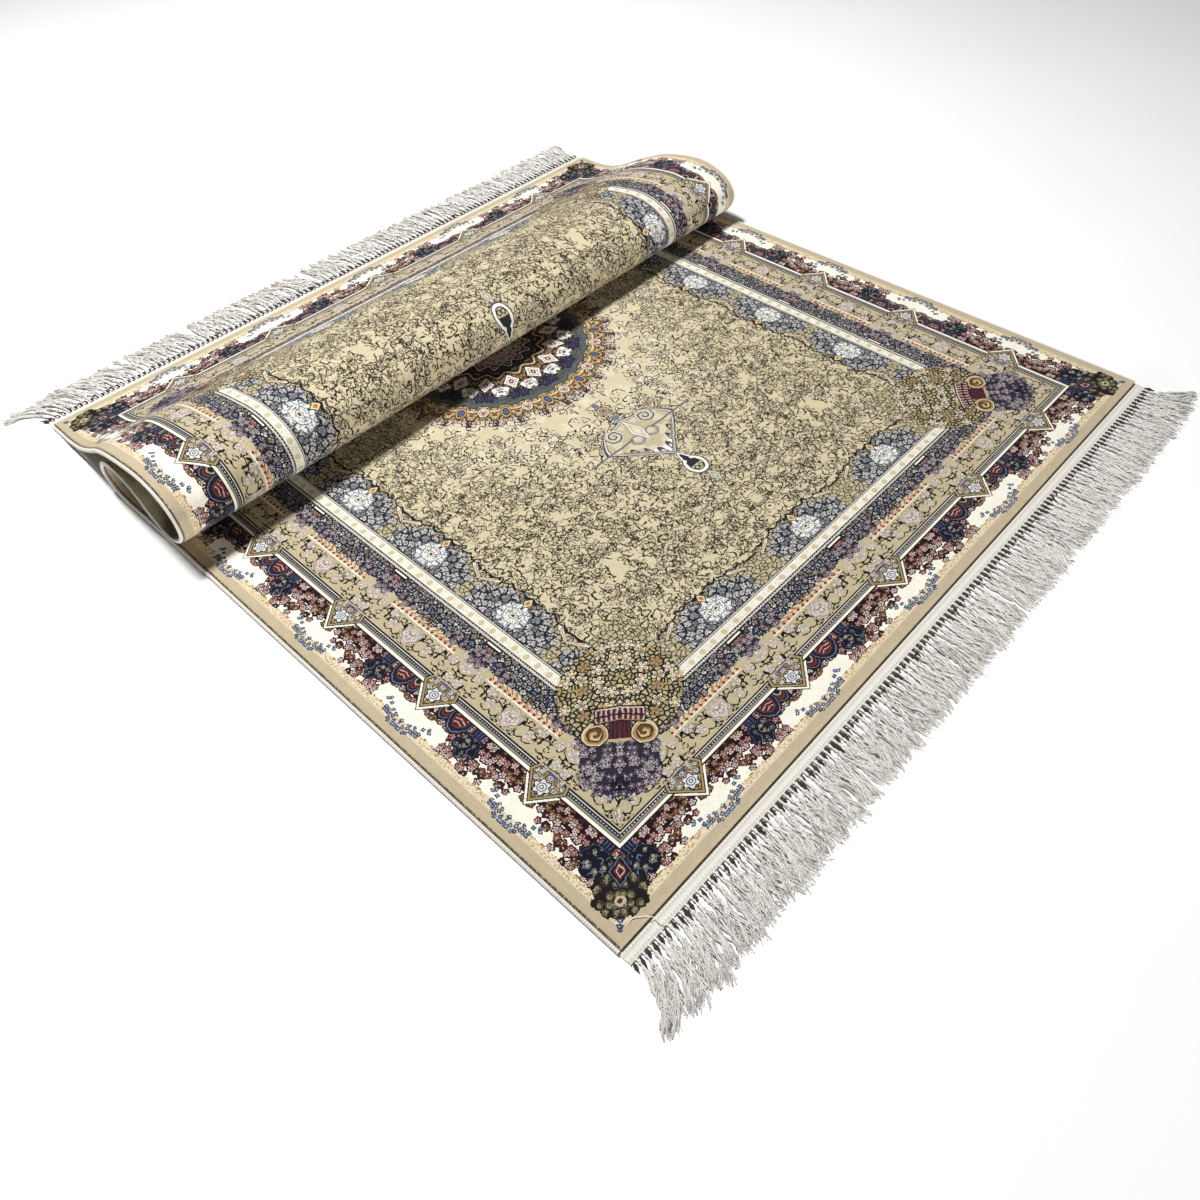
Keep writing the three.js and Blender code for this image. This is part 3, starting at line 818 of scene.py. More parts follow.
# %% Garland
def garland_colours(tree, at):
    """A net, a drift of small flowers (i, k) and one big flower, whose rim is where its distance
    q plus a wave of its angle a reaches its size."""
    g, v = sway(tree, at["G"], at["D"], 6.0, 2.6, 3.0)
    flower = posies(tree, g, v, 8.4, 12.0, 5.0, 0.9)
    names = {**at, **flower, "g": g, "v": v, "r": cell_edges(tree, g, v, 8.4, 12.0, 0.9)}
    names["e"] = cell_edges(tree, g, v, 6.0, 40.0)
    names["n"] = wander(tree, g, v, 3.0, 1.0, 4.0)
    work_out(tree, names, i="(cx < 60) * (cy < 222 - cx * 0.45)",
             q="root((g / 1.1) ** 2 + (v - 185) ** 2)",
             a="angle(g, v - 185)",
             k="i * (r > 0.1)")
    colour = layers(
        tree, "#AFA383", names, ("near(n, 0.56, 0.04)", "#C9BF9E"), ("e < 0.11", "#3B352C"),
        ("i", "#1E1E26"), ("k", "#9A9997"), ("k * (f < 0.4)", "#DCDAD5"),
        ("k * (c < 0.14)", "#86878B"), ("k * (o > 0.92)", "#8E8460"),
        ("k * (p < -0.7) * (f > 0.12)", "#4A4A50"), ("k * near(f, 0.24, 0.035)", "#77777A"),
        ("k * (f < 0.1)", "#2B2D3A"),
        ("near(v, 198 + (66 - g) * 0.5, 3.4) * near(g, 56, 12)", INK),
        ("near(v, 198 + (66 - g) * 0.5, 2.4) * near(g, 56, 11)", "#DCD2BC"),
        ("near(v, 198 + (66 - g) * 0.5, 0.8) * near(g, 58, 8)", "#B5824A"))
    # the big flower, petal by petal
    for size, petals, code in ((21.0, 7, "#1F2027"), (19.6, 7, "#ECEBE6"), (12.4, 5, "#5E6066"),
                               (11.5, 5, "#EFEEE9"), (5.6, 5, "#3A3B42"), (4.6, 5, "#D3CDBB")):
        colour = layers(tree, colour, {**names, "m": petals / 2, "s": size},
                        ("q + abs(sin(a * m)) * s * 0.18 < s", code))
    return layers(
        tree, colour, names,
        ("(abs(sin(a * 3.5)) < 0.2) * near(q, 14.5, 4.5)", "#2E2F38"),
        ("(abs(cos(a * 3.5)) < 0.08) * near(q, 15.5, 2)", "#85878C"),
        ("near(n, 0.5, 0.045) * near(q, 12, 7)", "#77797E"), ("q < 1.8", "#5E2A24"),
        ("G / 4.6 + abs(D - 207) / 7 < 1.35", "#22253A"),
        ("G / 4.6 + abs(D - 207) / 7 < 1.05", "#DCCB9C"),
        ("G / 4.6 + abs(D - 207) / 7 < 0.6", "#B5752C"))


def garland_finish():
    """The garland, cut from the field by a scalloped line: l is the distance past it."""
    finish, tree, at = start_pile("woven pile, garland")
    names = {**at, "n": wander(tree, at["G"], at["D"], 9.0, 1.0, 6.0)}
    work_out(tree, names,
             l="D - 216 + abs(sin(G * 0.19)) * 3.6 + (G > 30) * (G - 30) * 0.2 + (n - 0.5) * 5")
    names["m"] = wander(tree, at["X"], at["Y"], 3.4, 1.0, 6.0)
    colour = layers(tree, garland_colours(tree, at), names, ("l > 0", field_colours(tree, at)),
                    ("near(l, 0, 1.5) * (m > 0.36)", "#191B28"))
    return finish_pile(finish, tree, colour, at)


# %% [markdown]
# The medallion is a wheel of sixteen spokes, laid down ring by ring. Its motifs could be placed
# one by one, as a weaver's chart shows them. Here the angle is folded back and forth between a
# spoke and the gap beside it, so one wedge is drawn and thirty-two are seen, alike but for a
# slight sway.

# %% Medallion: its wedge
SPOKES = 16
WEDGE = math.pi / SPOKES           # from a spoke to the middle of the gap beside it
GOLD = "#B98F55"


def medallion_places(tree, at):
    """r: distance from the middle. t: angle from the nearest spoke. u, v, w: mm beside the
    spoke, beside the gap and beside the line half way. n, g: smooth noise. f, c: shape and
    chance of small beads. tip: the bead's distance, less the nearer it is to a spoke."""
    x, y = sway(tree, at["X"], at["Y"], 7.0, 1.2, 2.0)
    r = formula(tree, "root(x * x + y * y)", x=x, y=y)
    names = {"r": r, "X": at["X"], "t": formula(tree, "fold(angle(x, y), k)", x=x, y=y, k=WEDGE)}
    work_out(tree, names, u="t * r")
    names["v"] = formula(tree, "(k - t) * r", k=WEDGE, **names)
    names["w"] = formula(tree, "abs(t - k) * r", k=WEDGE / 2, **names)
    names["n"] = wander(tree, names["u"], r, 4.0, 2.0, 3.0)
    names["g"] = wander(tree, names["u"], r, 6.5, 1.5, 4.0)
    bead = posies(tree, names["u"], r, 6.2, 71.0, 4.0, 0.6)
    names.update({key: bead[key] for key in ("f", "c", "cx", "cy")})
    names["tip"] = formula(tree, "cy + abs(cx - cy * k) * 0.95 - (abs(X) < 9) * 6",
                           k=WEDGE / 2, **names)
    return names


# %% Medallion: beads and gold scrolls
def medallion_beads(tree, colour, names):
    """White and dark red beads out to the spokes' tips."""
    return layers(tree, colour, names, ("(tip < 184) * (f < 0.62) * (r > 150)", "#1E1517"),
                  ("(tip < 184) * (f < 0.34) * (r > 150)", "#E2DCD4"),
                  ("(tip < 184) * (f < 0.13) * (r > 150)", "#7E3038"),
                  ("(tip < 184) * (f < 0.34) * (r > 150) * (c > 0.8)", "#6A2B30"))


def medallion_scrolls(tree, colour, names):
    """A ring of gold scrolls, with blue ovals in the gaps and white palmettes on the spokes. o
    and p are 1 on the rim of a stretched circle about each."""
    curl = posies(tree, names["w"], names["r"], 7.6, 25.0, 3.0, 0.7)
    reach = formula(tree, "r + w * 0.35 - 4 * near(n, 0.5, 0.05)", **names)
    colour = layers(
        tree, colour, {"k": reach, "r": names["r"], **curl},
        ("(k < 168) * (r > 138)", "#B3A685"), ("(k < 168) * (d > 0.5)", "#3A2C24"),
        ("(k < 168) * (d < 0.4)", "#4A3626"),
        ("(k < 168) * near(d, 0.3, 0.08) * (t > -0.6)", GOLD),
        ("(k < 168) * near(d, 0.31, 0.03) * (t > -0.3)", "#DCC89C"),
        ("(k < 168) * (d < 0.14)", "#D9D2C2"), ("(k < 168) * (d < 0.14) * (c > 0.6)", "#8E3A2E"))
    work_out(tree, names, o="root((v / 5) ** 2 + ((r - 151) / 8) ** 2)",
             p="root((u / 6.5) ** 2 + ((r - 149) / 7.5) ** 2) + sin(r * 1.6) * 0.06")
    return layers(
        tree, colour, names, ("near(r - abs(sin(t * 16)) * 5, 142, 2.2)", GOLD),
        ("near(r - abs(sin(t * 16)) * 5, 142, 0.7)", "#E8D6AC"),
        ("o < 1.5", "#3B2B22"), ("o < 1.32", "#C39C5E"), ("o < 1", "#23232F"),
        ("o < 0.8", "#4C5C82"), ("p < 1.3", "#3A2620"), ("p < 1.12", "#DCD5C8"),
        ("near(p, 0.75, 0.1)", "#8A5A48"), ("p < 0.45", "#7A2C2A"), ("p < 0.2", GOLD))


# %% Medallion: the grey ring and the heart
def medallion_ring(tree, colour, names):
    """A dark grey scalloped ring, and in it white places (b), navy flowers (q, a) and
    red-hearted diamonds (e)."""
    work_out(tree, names, l="r - abs(sin(t * 16)) * 6 + (n - 0.5) * 3",
             b="root((v / 11.5) ** 2 + ((r - 107) / 10) ** 2) + (n - 0.5) * 1.1",
             q="root((u - 6.6) ** 2 + (r - 119) ** 2)",
             a="angle(u - 6.6, r - 119)",
             e="u / 9 + abs(r - 90) / 13 + (n - 0.5) * 0.2")
    return layers(
        tree, colour, names, ("l < 134", "#292626"), ("l < 132.4", "#565A57"),
        ("(l < 126) * (n > 0.5)", "#3E403F"), ("r < 120", "#2A2A30"),
        ("(r < 120) * near(g, 0.5, 0.035)", "#A8834E"), ("b < 1.12", "#2A2628"),
        ("b < 0.96", "#EFEDE8"), ("(b < 0.9) * near(g, 0.5, 0.03)", "#77757A"),
        ("b < 0.2", "#50515C"), ("q + cos(a * 6) * 1.5 < 8.4", "#191D36"),
        ("near(q, 4.6, 0.7)", "#3D4360"), ("q < 1.7", "#8E3A32"), ("e < 1.4", "#2A2628"),
        ("e < 1.22", "#E6E1DA"), ("near(e, 0.8, 0.1)", "#8E8A88"), ("e < 0.5", "#7A2A30"),
        ("e < 0.16", "#D8C9A8"))


def medallion_heart(tree, colour, names):
    """A dark heart with gold arcs: s is the distance, waved once for each spoke."""
    work_out(tree, names, s="r + cos(t * 16) * 5")
    return layers(
        tree, colour, names, ("s < 76", "#272425"), ("near(s, 72, 1.6)", "#C9A76A"),
        ("near(s, 62, 3.4) * (n > 0.5)", "#6B6A68"), ("near(s, 52, 1.2)", "#D8CDB4"),
        ("(s < 48) * (f < 0.56)", "#1F2137"), ("(s < 48) * (f < 0.42)", "#C8BFB4"),
        ("(s < 48) * (f < 0.2)", "#7A2C2A"), ("near(s, 34, 1.6)", GOLD), ("s < 20", "#5A1F2A"),
        ("s < 14", "#D8CDB4"), ("s < 9", NAVY))


def medallion_finish():
    """The field, with the medallion's rings laid over it from the outside in."""
    finish, tree, at = start_pile("woven pile, medallion")
    names, colour = medallion_places(tree, at), field_colours(tree, at)
    for ring in (medallion_beads, medallion_scrolls, medallion_ring, medallion_heart):
        colour = ring(tree, colour, names)
    return finish_pile(finish, tree, colour, at)


# %% [markdown]
# Each corner holds a bouquet: a mauve and navy heart between two gold scroll handles, a
# striped crown across the diagonal, and palmettes on a net behind it. It could be drawn along
# the two edges like the borders, but it leans at 45 degrees, so it is drawn along and across
# the diagonal, and mirrored about it.

# %% Corner bouquet: net and heart
def corner_net(tree, colour, names, a, b):
    """Palmettes on a net: z is 1 where the net shows, x where a palmette may stand."""
    names.update(posies(tree, a, b, 15.5, 33.0, 5.0, 0.8))
    names["e"] = cell_edges(tree, a, b, 5.6, 4.0)
    work_out(tree, names, x="(root(((cx - 268) / 62) ** 2 + (cy / 62) ** 2) < 1) * (o > 0.2)",
             z="root(((a - 268) / 66) ** 2 + (b / 66) ** 2) + (n - 0.5) * 0.3 < 1")
    return layers(
        tree, colour, names, ("z", "#A59A76"), ("z * (n > 0.56)", "#CABF9C"),
        ("z * (e < 0.17)", "#241F19"),
        ("x * (f < 0.46)", "#1D1916"), ("x * (f < 0.37)", "#E6DEC8"),
        ("x * (f < 0.37) * (c > 0.72)", "#A98B58"), ("x * (f < 0.37) * (p < -0.72)", "#33291E"),
        ("x * near(f, 0.25, 0.022)", "#7A6444"), ("x * near(f, 0.17, 0.04)", "#B08F55"),
        ("x * (f < 0.1)", "#E3DCC6"), ("x * (f < 0.1) * (c > 0.5)", "#4A587E"),
        ("z * (1 - x) * near(d, 0.3, 0.06) * (t > 0)", "#B08F55"))


def corner_heart(tree, colour, names, a, b):
    """A mauve and navy heart of flowers, and its neck and base: j is 1 on its outline, z at a
    flower's middle."""
    names.update(posies(tree, a, b, 7.0, 15.0, 5.0, 0.9))
    work_out(tree, names, z="root(((cx - 184) / 40) ** 2 + (cy / 42) ** 2) + (cx > 214) * (cy > 10)",
             j="root(((a - 184) / 38) ** 2 + (b / 40) ** 2) + (a > 212) * (b > 10)")
    return layers(
        tree, colour, names, ("j < 1", "#2E2A33"), ("(z < 1.05) * (f < 0.58)", "#221E28"),
        ("(z < 1.05) * (f < 0.44)", "#756A76"), ("(z < 1.05) * (f < 0.44) * (c > 0.6)", "#B0A6A8"),
        ("(z < 1.05) * (f < 0.44) * (c < 0.2)", "#38446A"),
        ("(z < 1.05) * (p < -0.6) * (f > 0.1)", "#2A2430"),
        ("(z < 1.05) * near(f, 0.25, 0.05)", "#443A48"), ("(z < 1.05) * (f < 0.11)", "#CDC4C0"),
        ("near(a, 221, 12) * (b < 11)", "#2A1C26"),
        ("near(a, 221, 12) * (b < 10) * (fract(b / 4) < 0.45)", "#58262E"),
        ("near(a, 208, 1.6) * (b < 12)", "#B9A27C"),
        ("(root((a - 160) ** 2 + b * b) < 9) * (n > 0.45)", "#16131A"))


# %% Corner bouquet: handles, crown and the whole
def corner_crown(tree, colour, names):
    """Gold scroll handles, wound as a spiral s of the distance h and the angle round their
    middle, and the striped crown k across the diagonal."""
    work_out(tree, names, h="root((a - 216) ** 2 + (b - 25) ** 2)",
             s="fract(h / 8.5 - angle(b - 25, a - 216) * 0.159)",
             k="near(a, 240 - b * 0.12, 8.4) * (b < 25)")
    return layers(
        tree, colour, names,
        ("h < 14.6", INK), ("h < 13.4", "#A38354"), ("(h < 13.4) * (s < 0.3)", "#C9B48C"),
        ("near(h, 8, 1)", "#4A331F"), ("(h < 7) * (s > 0.5)", "#5F4226"),
        ("near(h, 12.6, 0.7)", "#D6C8A6"),
        ("near(a, 240 - b * 0.12, 10.2) * (b < 26.4)", INK), ("k", "#9E8079"),
        ("k * (fract(b / 5.4 + 0.2 + (n - 0.5) * 0.5) < 0.5)", "#48202A"),
        ("k * near(fract(b / 5.4 + 0.2), 0.7, 0.07)", "#D2C3B6"),
        ("k * near(a, 239 - b * 0.12, 1)", "#2E181E"), ("k * near(a, 248 - b * 0.12, 1)", "#CDBEA8"),
        ("k * near(a, 231.6 - b * 0.12, 1)", "#9A7A4C"))


def corner_finish():
    """Bands and garland first, then the net, the heart and the crown on the diagonal: a is the
    distance along it from the carpet's corner, and b the distance from it."""
    finish, tree, at = start_pile("woven pile, corner bouquet")
    colour = layers(tree, second_guard(tree, band_colours(tree, at), at), at,
                    ("D > 165.4", garland_colours(tree, at)))
    a, b = sway(tree, formula(tree, "(side + E) * 0.7071", **at),
                formula(tree, "abs(side - E) * 0.7071", **at), 8.0, 1.8, 6.0)
    names = {**at, "a": a, "b": b, "n": wander(tree, a, b, 3.2, 1.5, 3.0)}
    colour = corner_heart(tree, corner_net(tree, colour, names, a, b), names, a, b)
    return finish_pile(finish, tree, corner_crown(tree, colour, names), at)


# %% [markdown]
# The back is a flat weave of undyed cotton, seen only inside the loops. Its threads could be
# meshed, but they hardly show, so a bump of crossed waves stands for them: ribs along the
# length, crossed by wefts.

# %% Woven back
def backing_finish():
    """Undyed cotton, dull and unevenly greyed, its whole colour painted darker than the cotton's
    own as the shade inside the loops. Waves of |sin| make ribs 2.5 mm wide along the length, and
    wefts every 2 mm, set off by half in every second rib; the grooves between them are painted
    darker, as their shade."""
    finish, tree, at = start_finish("woven cotton backing")
    ribs = formula(tree, "abs(sin(X * 1.25)) * 0.6 + abs(sin(Y * 1.6 + floor(X / 2.51) * 1.57))",
                   **at)
    grey = wander(tree, at["X"], at["Y"], 26.0, 3.0)
    # painted shade: the whole back is darker than undyed cotton, for the shade inside the loops, and
    # darker still in the grooves between ribs
    colour = layers(tree, "#9C8E74", {"n": grey, "r": ribs}, ("(n - 0.3) * 1.2", "#7C6F58"),
                    ("(1 - r) * 0.5", "#5E5342"))
    bump = add(tree, "Bump", named={"Strength": 0.5, "Distance": 0.0008, "Height": ribs})
    shader = add(tree, "BsdfPrincipled", named={"Base Color": colour, "Roughness": 0.85,
                 "Normal": bump})
    add(tree, "OutputMaterial", shader)
    return finish


# %% [markdown]
# The cloth itself is one closed skin: a row of points runs over the pile and back under the
# weave, and the rows follow the folds. A sheet with a Solidify modifier would be as thick, but
# its edges would be square. Here the pile rounds over near every edge, as cut pile does, and
# rows lie closer round the back loop.

# %% Cloth
PILE_ROUNDING = 2.5
BACK_ROUNDING = 0.8
COLUMN_STEP = 20.0                 # mm between points across the cloth
ROW_STEP = 6.0                     # and along it
BACK_LOOP = (700, 1000)            # where along it the back loop lies, with closer rows
LOOP_STEP = 2.0
EDGE_MARGIN = 10                   # the first plain row, in from each end
EDGE_STEPS = [0, 0.35, 1.0, 2.5, 5.0]
SEARCH_POINTS = 20001              # fine enough to find a design line to a tenth of a mm


def both_ways(steps, whole):
    """The steps from one end, and the same steps back from the other."""
    return [*steps, *(whole - step for step in steps)]


zone_lines = [GUARD_END, BAND_END, GARLAND_END, CORNER_REACH]
place_across = np.unique([*both_ways(EDGE_STEPS, PILE_WIDTH), *both_ways(zone_lines, PILE_WIDTH),
                          *both_ways([HALF_WIDTH - MEDALLION_REACH], PILE_WIDTH),
                          *np.arange(COLUMN_STEP, PILE_WIDTH, COLUMN_STEP)])
dense = np.linspace(0, CLOTH_LENGTH, SEARCH_POINTS)
design_lines = HALF_LENGTH - np.array(zone_lines) * END_SQUEEZE
design_lines = np.r_[design_lines, -design_lines, MEDALLION_REACH, -MEDALLION_REACH]
place_along = np.unique(np.round([
    *both_ways(EDGE_STEPS, CLOTH_LENGTH), *np.interp(design_lines, design_y(dense), dense),
    *np.arange(EDGE_MARGIN, CLOTH_LENGTH - EDGE_MARGIN, ROW_STEP),
    *np.arange(*BACK_LOOP, LOOP_STEP)], 2))


def to_edge(across, along):
    """Distance (mm) from the nearest of the four edges, for a grid."""
    side = np.minimum(across, PILE_WIDTH - across)[None, :]
    end = np.minimum(along, CLOTH_LENGTH - along)[:, None]
    return np.minimum(side, end)


def rounding(distance, radius):
    """How far a rounded edge lies below the flat: radius less the height of its circle."""
    inside = np.clip(radius - distance, 0, radius)
    return radius - np.sqrt(radius ** 2 - inside ** 2)


# %% Cloth: skin, caps and finishes
gap = to_edge(place_across, place_along)
top = lay(place_across / PILE_WIDTH, place_along / CLOTH_LENGTH,
          FLAT - rounding(gap, PILE_ROUNDING))
under = lay(place_across / PILE_WIDTH, place_along / CLOTH_LENGTH,
            rounding(gap, BACK_ROUNDING) - FLAT)
ring = np.concatenate([top, under[:, ::-1]], axis=1)
ring[..., 2] = np.maximum(ring[..., 2], 0)
rows, columns = ring.shape[:2]
flat_x = np.r_[place_across, place_across[::-1]] - HALF_WIDTH
flat_y = design_y(place_along)
design = np.stack(np.broadcast_arrays(flat_x[None, :], flat_y[:, None], 0.0), -1)
skin = grid_faces(rows, columns)
j = np.arange(columns // 2 - 1)
cap = np.stack([j, columns - 1 - j, columns - 2 - j, j + 1], -1)
faces = np.concatenate([skin, cap, cap[:, ::-1] + (rows - 1) * columns])
finishes = [border_finish(), bands_finish(), corner_finish(), garland_finish(), field_finish(),
            medallion_finish(), backing_finish()]
cloth = new_piece("carpet_cloth", ring.reshape(-1, 3), faces, finishes,
                  {"design": design.reshape(-1, 3)})
middles = design.reshape(-1, 3)[skin].mean(axis=1)
on_top = skin[:, 1] % columns < columns // 2
on_top &= skin[:, 0] % columns < columns // 2 - 1
zones = np.where(on_top, zone_of(middles[:, 0], middles[:, 1]), len(ZONES))
cloth.data.polygons.foreach_set("material_index",
                                np.r_[zones, np.full(len(faces) - len(skin), len(ZONES))])
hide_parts("carpet")

# %% [markdown]
# The long edges are overcast: yarn is wound round a cord beside the pile, so the binding is a
# round bead of slanting turns. A curve wound round the cord would give true turns, six hundred
# to a side, of which only the outer halves show. So the surface is an oval carried along the
# edge, its radius swelling once for each turn of yarn.

# %% Overcast bindings
BINDING_WIDTH = 4.0
BINDING_HEIGHT = 6.0
BINDING_OUT = 2.3                  # from the pile edge to the cord's middle
TURN_PITCH = 2.5                   # mm from one turn of yarn to the next
RINGS_PER_TURN = 3.5
YARN_SLANT = 0.35                  # how far a turn leans round the cord, in turns
BINDING_DROP = 0.5                 # the cord lies this much below the cloth's middle
BINDING_SIDES = 10


def binding_finish():
    """Off-white wool yarn: matt and fuzzy, with painted shade: grey-beige on its lower side by the
    floor and darker in the grooves between turns."""
    finish, tree = blank_finish("overcast wool yarn")
    along, height, _ = stored(tree, "winding")
    groove = formula(tree, "abs(sin(a * 3.1416))", a=along)
    wool = wander(tree, along, height, 0.22, 2.0)
    # painted shade: greyed on the lower side (h below -0.1) and in the grooves (g under 0.3); the tone
    # below also lightens the turns' crests
    colour = layers(tree, "#E8E2D6", {"h": height, "g": groove},
                    ("(h < -0.1) * 0.75 + (g < 0.3) * 0.25", "#A79F93"))
    tone = formula(tree, "0.86 + (n - 0.5) * 0.4 + g * 0.12", n=wool, g=groove)
    colour = add(tree, "HueSaturation", named={"Value": tone, "Color": colour})
    bump = add(tree, "Bump", named={"Strength": 0.6, "Distance": 0.0006,
               "Height": formula(tree, "g + n * 0.4", g=groove, n=wool)})
    shader = add(tree, "BsdfPrincipled", named={"Base Color": colour, "Roughness": 0.8,
                 "Sheen Weight": 0.2, "Normal": bump})
    add(tree, "OutputMaterial", shader)
    return finish


def binding(name, share, outward, finish):
    """Oval bead: its radii are scaled by 0.94 + 0.06 |sin(pi turns)|, and the turns lean by
    YARN_SLANT times the sine of the angle round it."""
    along = np.linspace(0, CLOTH_LENGTH, int(CLOTH_LENGTH / TURN_PITCH * RINGS_PER_TURN))
    angle = np.arange(BINDING_SIDES) / BINDING_SIDES * 2 * np.pi
    turns = along[:, None] / TURN_PITCH + np.sin(angle)[None, :] * YARN_SLANT
    swell = 0.94 + 0.06 * np.abs(np.sin(np.pi * turns))
    out = outward * BINDING_OUT - np.cos(angle) * BINDING_WIDTH / 2 * swell
    above = -BINDING_DROP + np.sin(angle) * BINDING_HEIGHT / 2 * swell
    points = lay(np.full(BINDING_SIDES, share), along / CLOTH_LENGTH, above)
    points[..., 0] += out
    points[..., 2] = np.maximum(points[..., 2], 0)
    values = np.stack([turns, np.broadcast_to(np.sin(angle), turns.shape), turns * 0], -1)
    faces = [grid_faces(len(along), BINDING_SIDES)]
    cap = np.arange(BINDING_SIDES)[None, :]
    faces += [cap[:, ::-1], cap + (len(along) - 1) * BINDING_SIDES]
    piece = new_piece(name, points.reshape(-1, 3), faces, finish,
                      {"winding": values.reshape(-1, 3)})
    return piece


wound_yarn = binding_finish()
bindings = [binding("binding_left_yarn", 0.0, -1, wound_yarn),
            binding("binding_right_yarn", 1.0, 1, wound_yarn)]
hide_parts("binding_left")
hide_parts("binding_right")

# %% [markdown]
# At each end the warps leave the pile through a narrow woven strip with two rows of chain
# stitch, and are knotted into tassels. The stitches could be links of curve; they are so low
# that a relief is enough. The strip is a flat ring in section, carried along the
# end, its top raised into links where the stitches run.

# %% End strips
PIECE_GAP = 0.3
TAPE_WIDTH = 14.0
TAPE_HEIGHT = 2.2
TAPE_OVERHANG = 3.0
CHAIN_ROWS = (3.6, 10.4)           # middles of the chain stitches, mm from the pile
LINK = 3.6                         # mm, one link of chain
TAPE_STEP = 0.9                    # mm between points along the strip
WEFT_PITCH = 1.8


def to_far_end(points):
    """Turns and moves points made at the near end (which faces -Y) to the far end."""
    left, right = LEFT_LINE[-1], RIGHT_LINE[-1]
    angle = math.pi + math.atan2(right[1] - left[1], PILE_WIDTH)
    turned = points.copy()
    turned[..., 0] = right[0] + PILE_WIDTH + points[..., 0] * math.cos(angle) \
        - points[..., 1] * math.sin(angle)
    turned[..., 1] = right[1] + points[..., 0] * math.sin(angle) \
        + points[..., 1] * math.cos(angle)
    return turned


def cotton_finish(name, light, dark, thread):
    """Soft cotton yarn, twisted once each thread mm, a little uneven in tone from yarn to yarn.
    Painted shade: darker between the crests of its ribs, and darker where the stored tone is low.
    """
    finish, tree = blank_finish(name)
    u, v, tone = stored(tree, "thread")
    rib = formula(tree, "abs(sin(u * 3.1416 / p + v * 1.2))", u=u, v=v, p=thread)
    fluff = wander(tree, u, formula(tree, "v + t * 40", v=v, t=tone), 1.1, 2.0)
    # painted shade: lighter on the rib crests (r), darker between them, and darker where the stored
    # tone t carries shade
    colour = layers(tree, dark, {"t": tone, "r": rib, "n": fluff},
                    ("min(1, t * 0.8 + r * 0.25 + n * 0.2)", light))
    bump = add(tree, "Bump", named={"Strength": 0.4, "Distance": 0.0004, "Height": rib})
    shader = add(tree, "BsdfPrincipled", named={"Base Color": colour, "Roughness": 0.62,
                 "Sheen Weight": 0.3, "Sheen Roughness": 0.4, "Specular IOR Level": 0.35,
                 "Normal": bump})
    add(tree, "OutputMaterial", shader)
    return finish


# %% End strips: the strip and its chain stitch
def fringe_piece(name, points, faces, finish, values):
    """A piece of strip or fringe, from a grid of points and the numbers of its yarn."""
    piece = new_piece(name, points.reshape(-1, 3), faces, finish,
                      {"thread": values.reshape(-1, 3)})
    return piece


def tape(name, far, finish):
    """Top height: flat, plus a bump of each chain row: exp of minus the squared distance from
    it, times |sin| along the links, one row half a link behind the other."""
    along = np.arange(-TAPE_OVERHANG, PILE_WIDTH + TAPE_OVERHANG + 0.1, TAPE_STEP)
    away = np.array([0, 0, 0.6, 1.6, 2.6, 3.6, 4.6, 5.6, 7, 8.4, 9.4, 10.4, 11.4, 12.4, 13.4,
                     14, 14])
    x, a = np.meshgrid(along, away, indexing="ij")
    relief = 0.12 * np.sin(x * 2 * np.pi / WEFT_PITCH)
    holes = 0.0
    for row, middle in enumerate(CHAIN_ROWS):
        links = np.abs(np.sin(np.pi * (x + np.abs(a - middle) * 0.8) / LINK + row * 1.57))
        relief = relief + 0.75 * links * np.exp(-((a - middle) / 1.3) ** 2)
        holes = holes + (1 - links) ** 1.5 * np.exp(-((a - middle) / 1.5) ** 2)
    z = TAPE_HEIGHT - 0.7 + relief
    z[:, [1, -2]] = 1.2
    z[:, [0, -1]] = 0
    points = np.stack([x, -PIECE_GAP - a, z], -1)[:, ::-1]
    # painted light and shade: the tone is lighter on the raised links and darker in the holes between
    # them
    tone = np.clip(0.85 + relief * 0.3 - holes * 1.1, 0, 1)[:, ::-1]
    values = np.stack([x[:, ::-1], a[:, ::-1], tone], -1)
    points = to_far_end(points) if far else points
    rows, columns = x.shape
    j = np.arange(columns // 2)
    cap = np.stack([j, columns - 1 - j, columns - 2 - j, j + 1], -1)
    faces = [grid_faces(rows, columns), cap, cap[:, ::-1] + (rows - 1) * columns]
    return fringe_piece(name, points, faces, finish, values)


tape_cotton = cotton_finish("woven cotton strip", "#E6E3DA", "#8F8371", WEFT_PITCH)
tapes = [tape("tape_near", False, tape_cotton), tape("tape_far", True, tape_cotton)]

# %% [markdown]
# A tassel is a bundle of warp yarns: twisted tight for its first few millimetres, then free.
# A hair system would give loose yarns too, but here each tassel must start in its own knot.
# All yarns are made at once as one array: tassel by yarn by place along it. Their paths start
# on a turning circle and open in locks, each with a wave of its own; a ring of three points
# round each path makes the yarn.

# %% Tassels: paths
TASSELS = 128
YARNS = 20
LOCKS = 4                          # of five yarns each
YARN_POINTS = 12
YARN_SIDES = 3
YARN_RADIUS = 0.55
TASSEL_LENGTH = 64.0
TWISTED = 0.14                     # share of the length that is twisted tight
NEAR_LEAN = [[0, 22], [0.1, 8], [0.5, 3], [0.9, -6], [1, -22]]
FAR_LEAN = [[0, -4], [0.1, 5], [0.5, 11], [0.85, 12], [0.95, 30], [1, 44]]
roots = (np.arange(TASSELS) + 0.5) * PILE_WIDTH / TASSELS


def lean_of(places, far):
    """Degrees that the tassels lean to the left, as seen from their own end."""
    lean = np.array(FAR_LEAN if far else NEAR_LEAN, float)
    degrees = np.interp(places / PILE_WIDTH, lean[:, 0], lean[:, 1]) * (-1 if far else 1)
    return degrees + 4 * np.sin(2 * np.pi * places / 102)


def per_lock(values):
    """One value for each lock, repeated for each of its yarns."""
    return np.repeat(values, YARNS // LOCKS, axis=1)


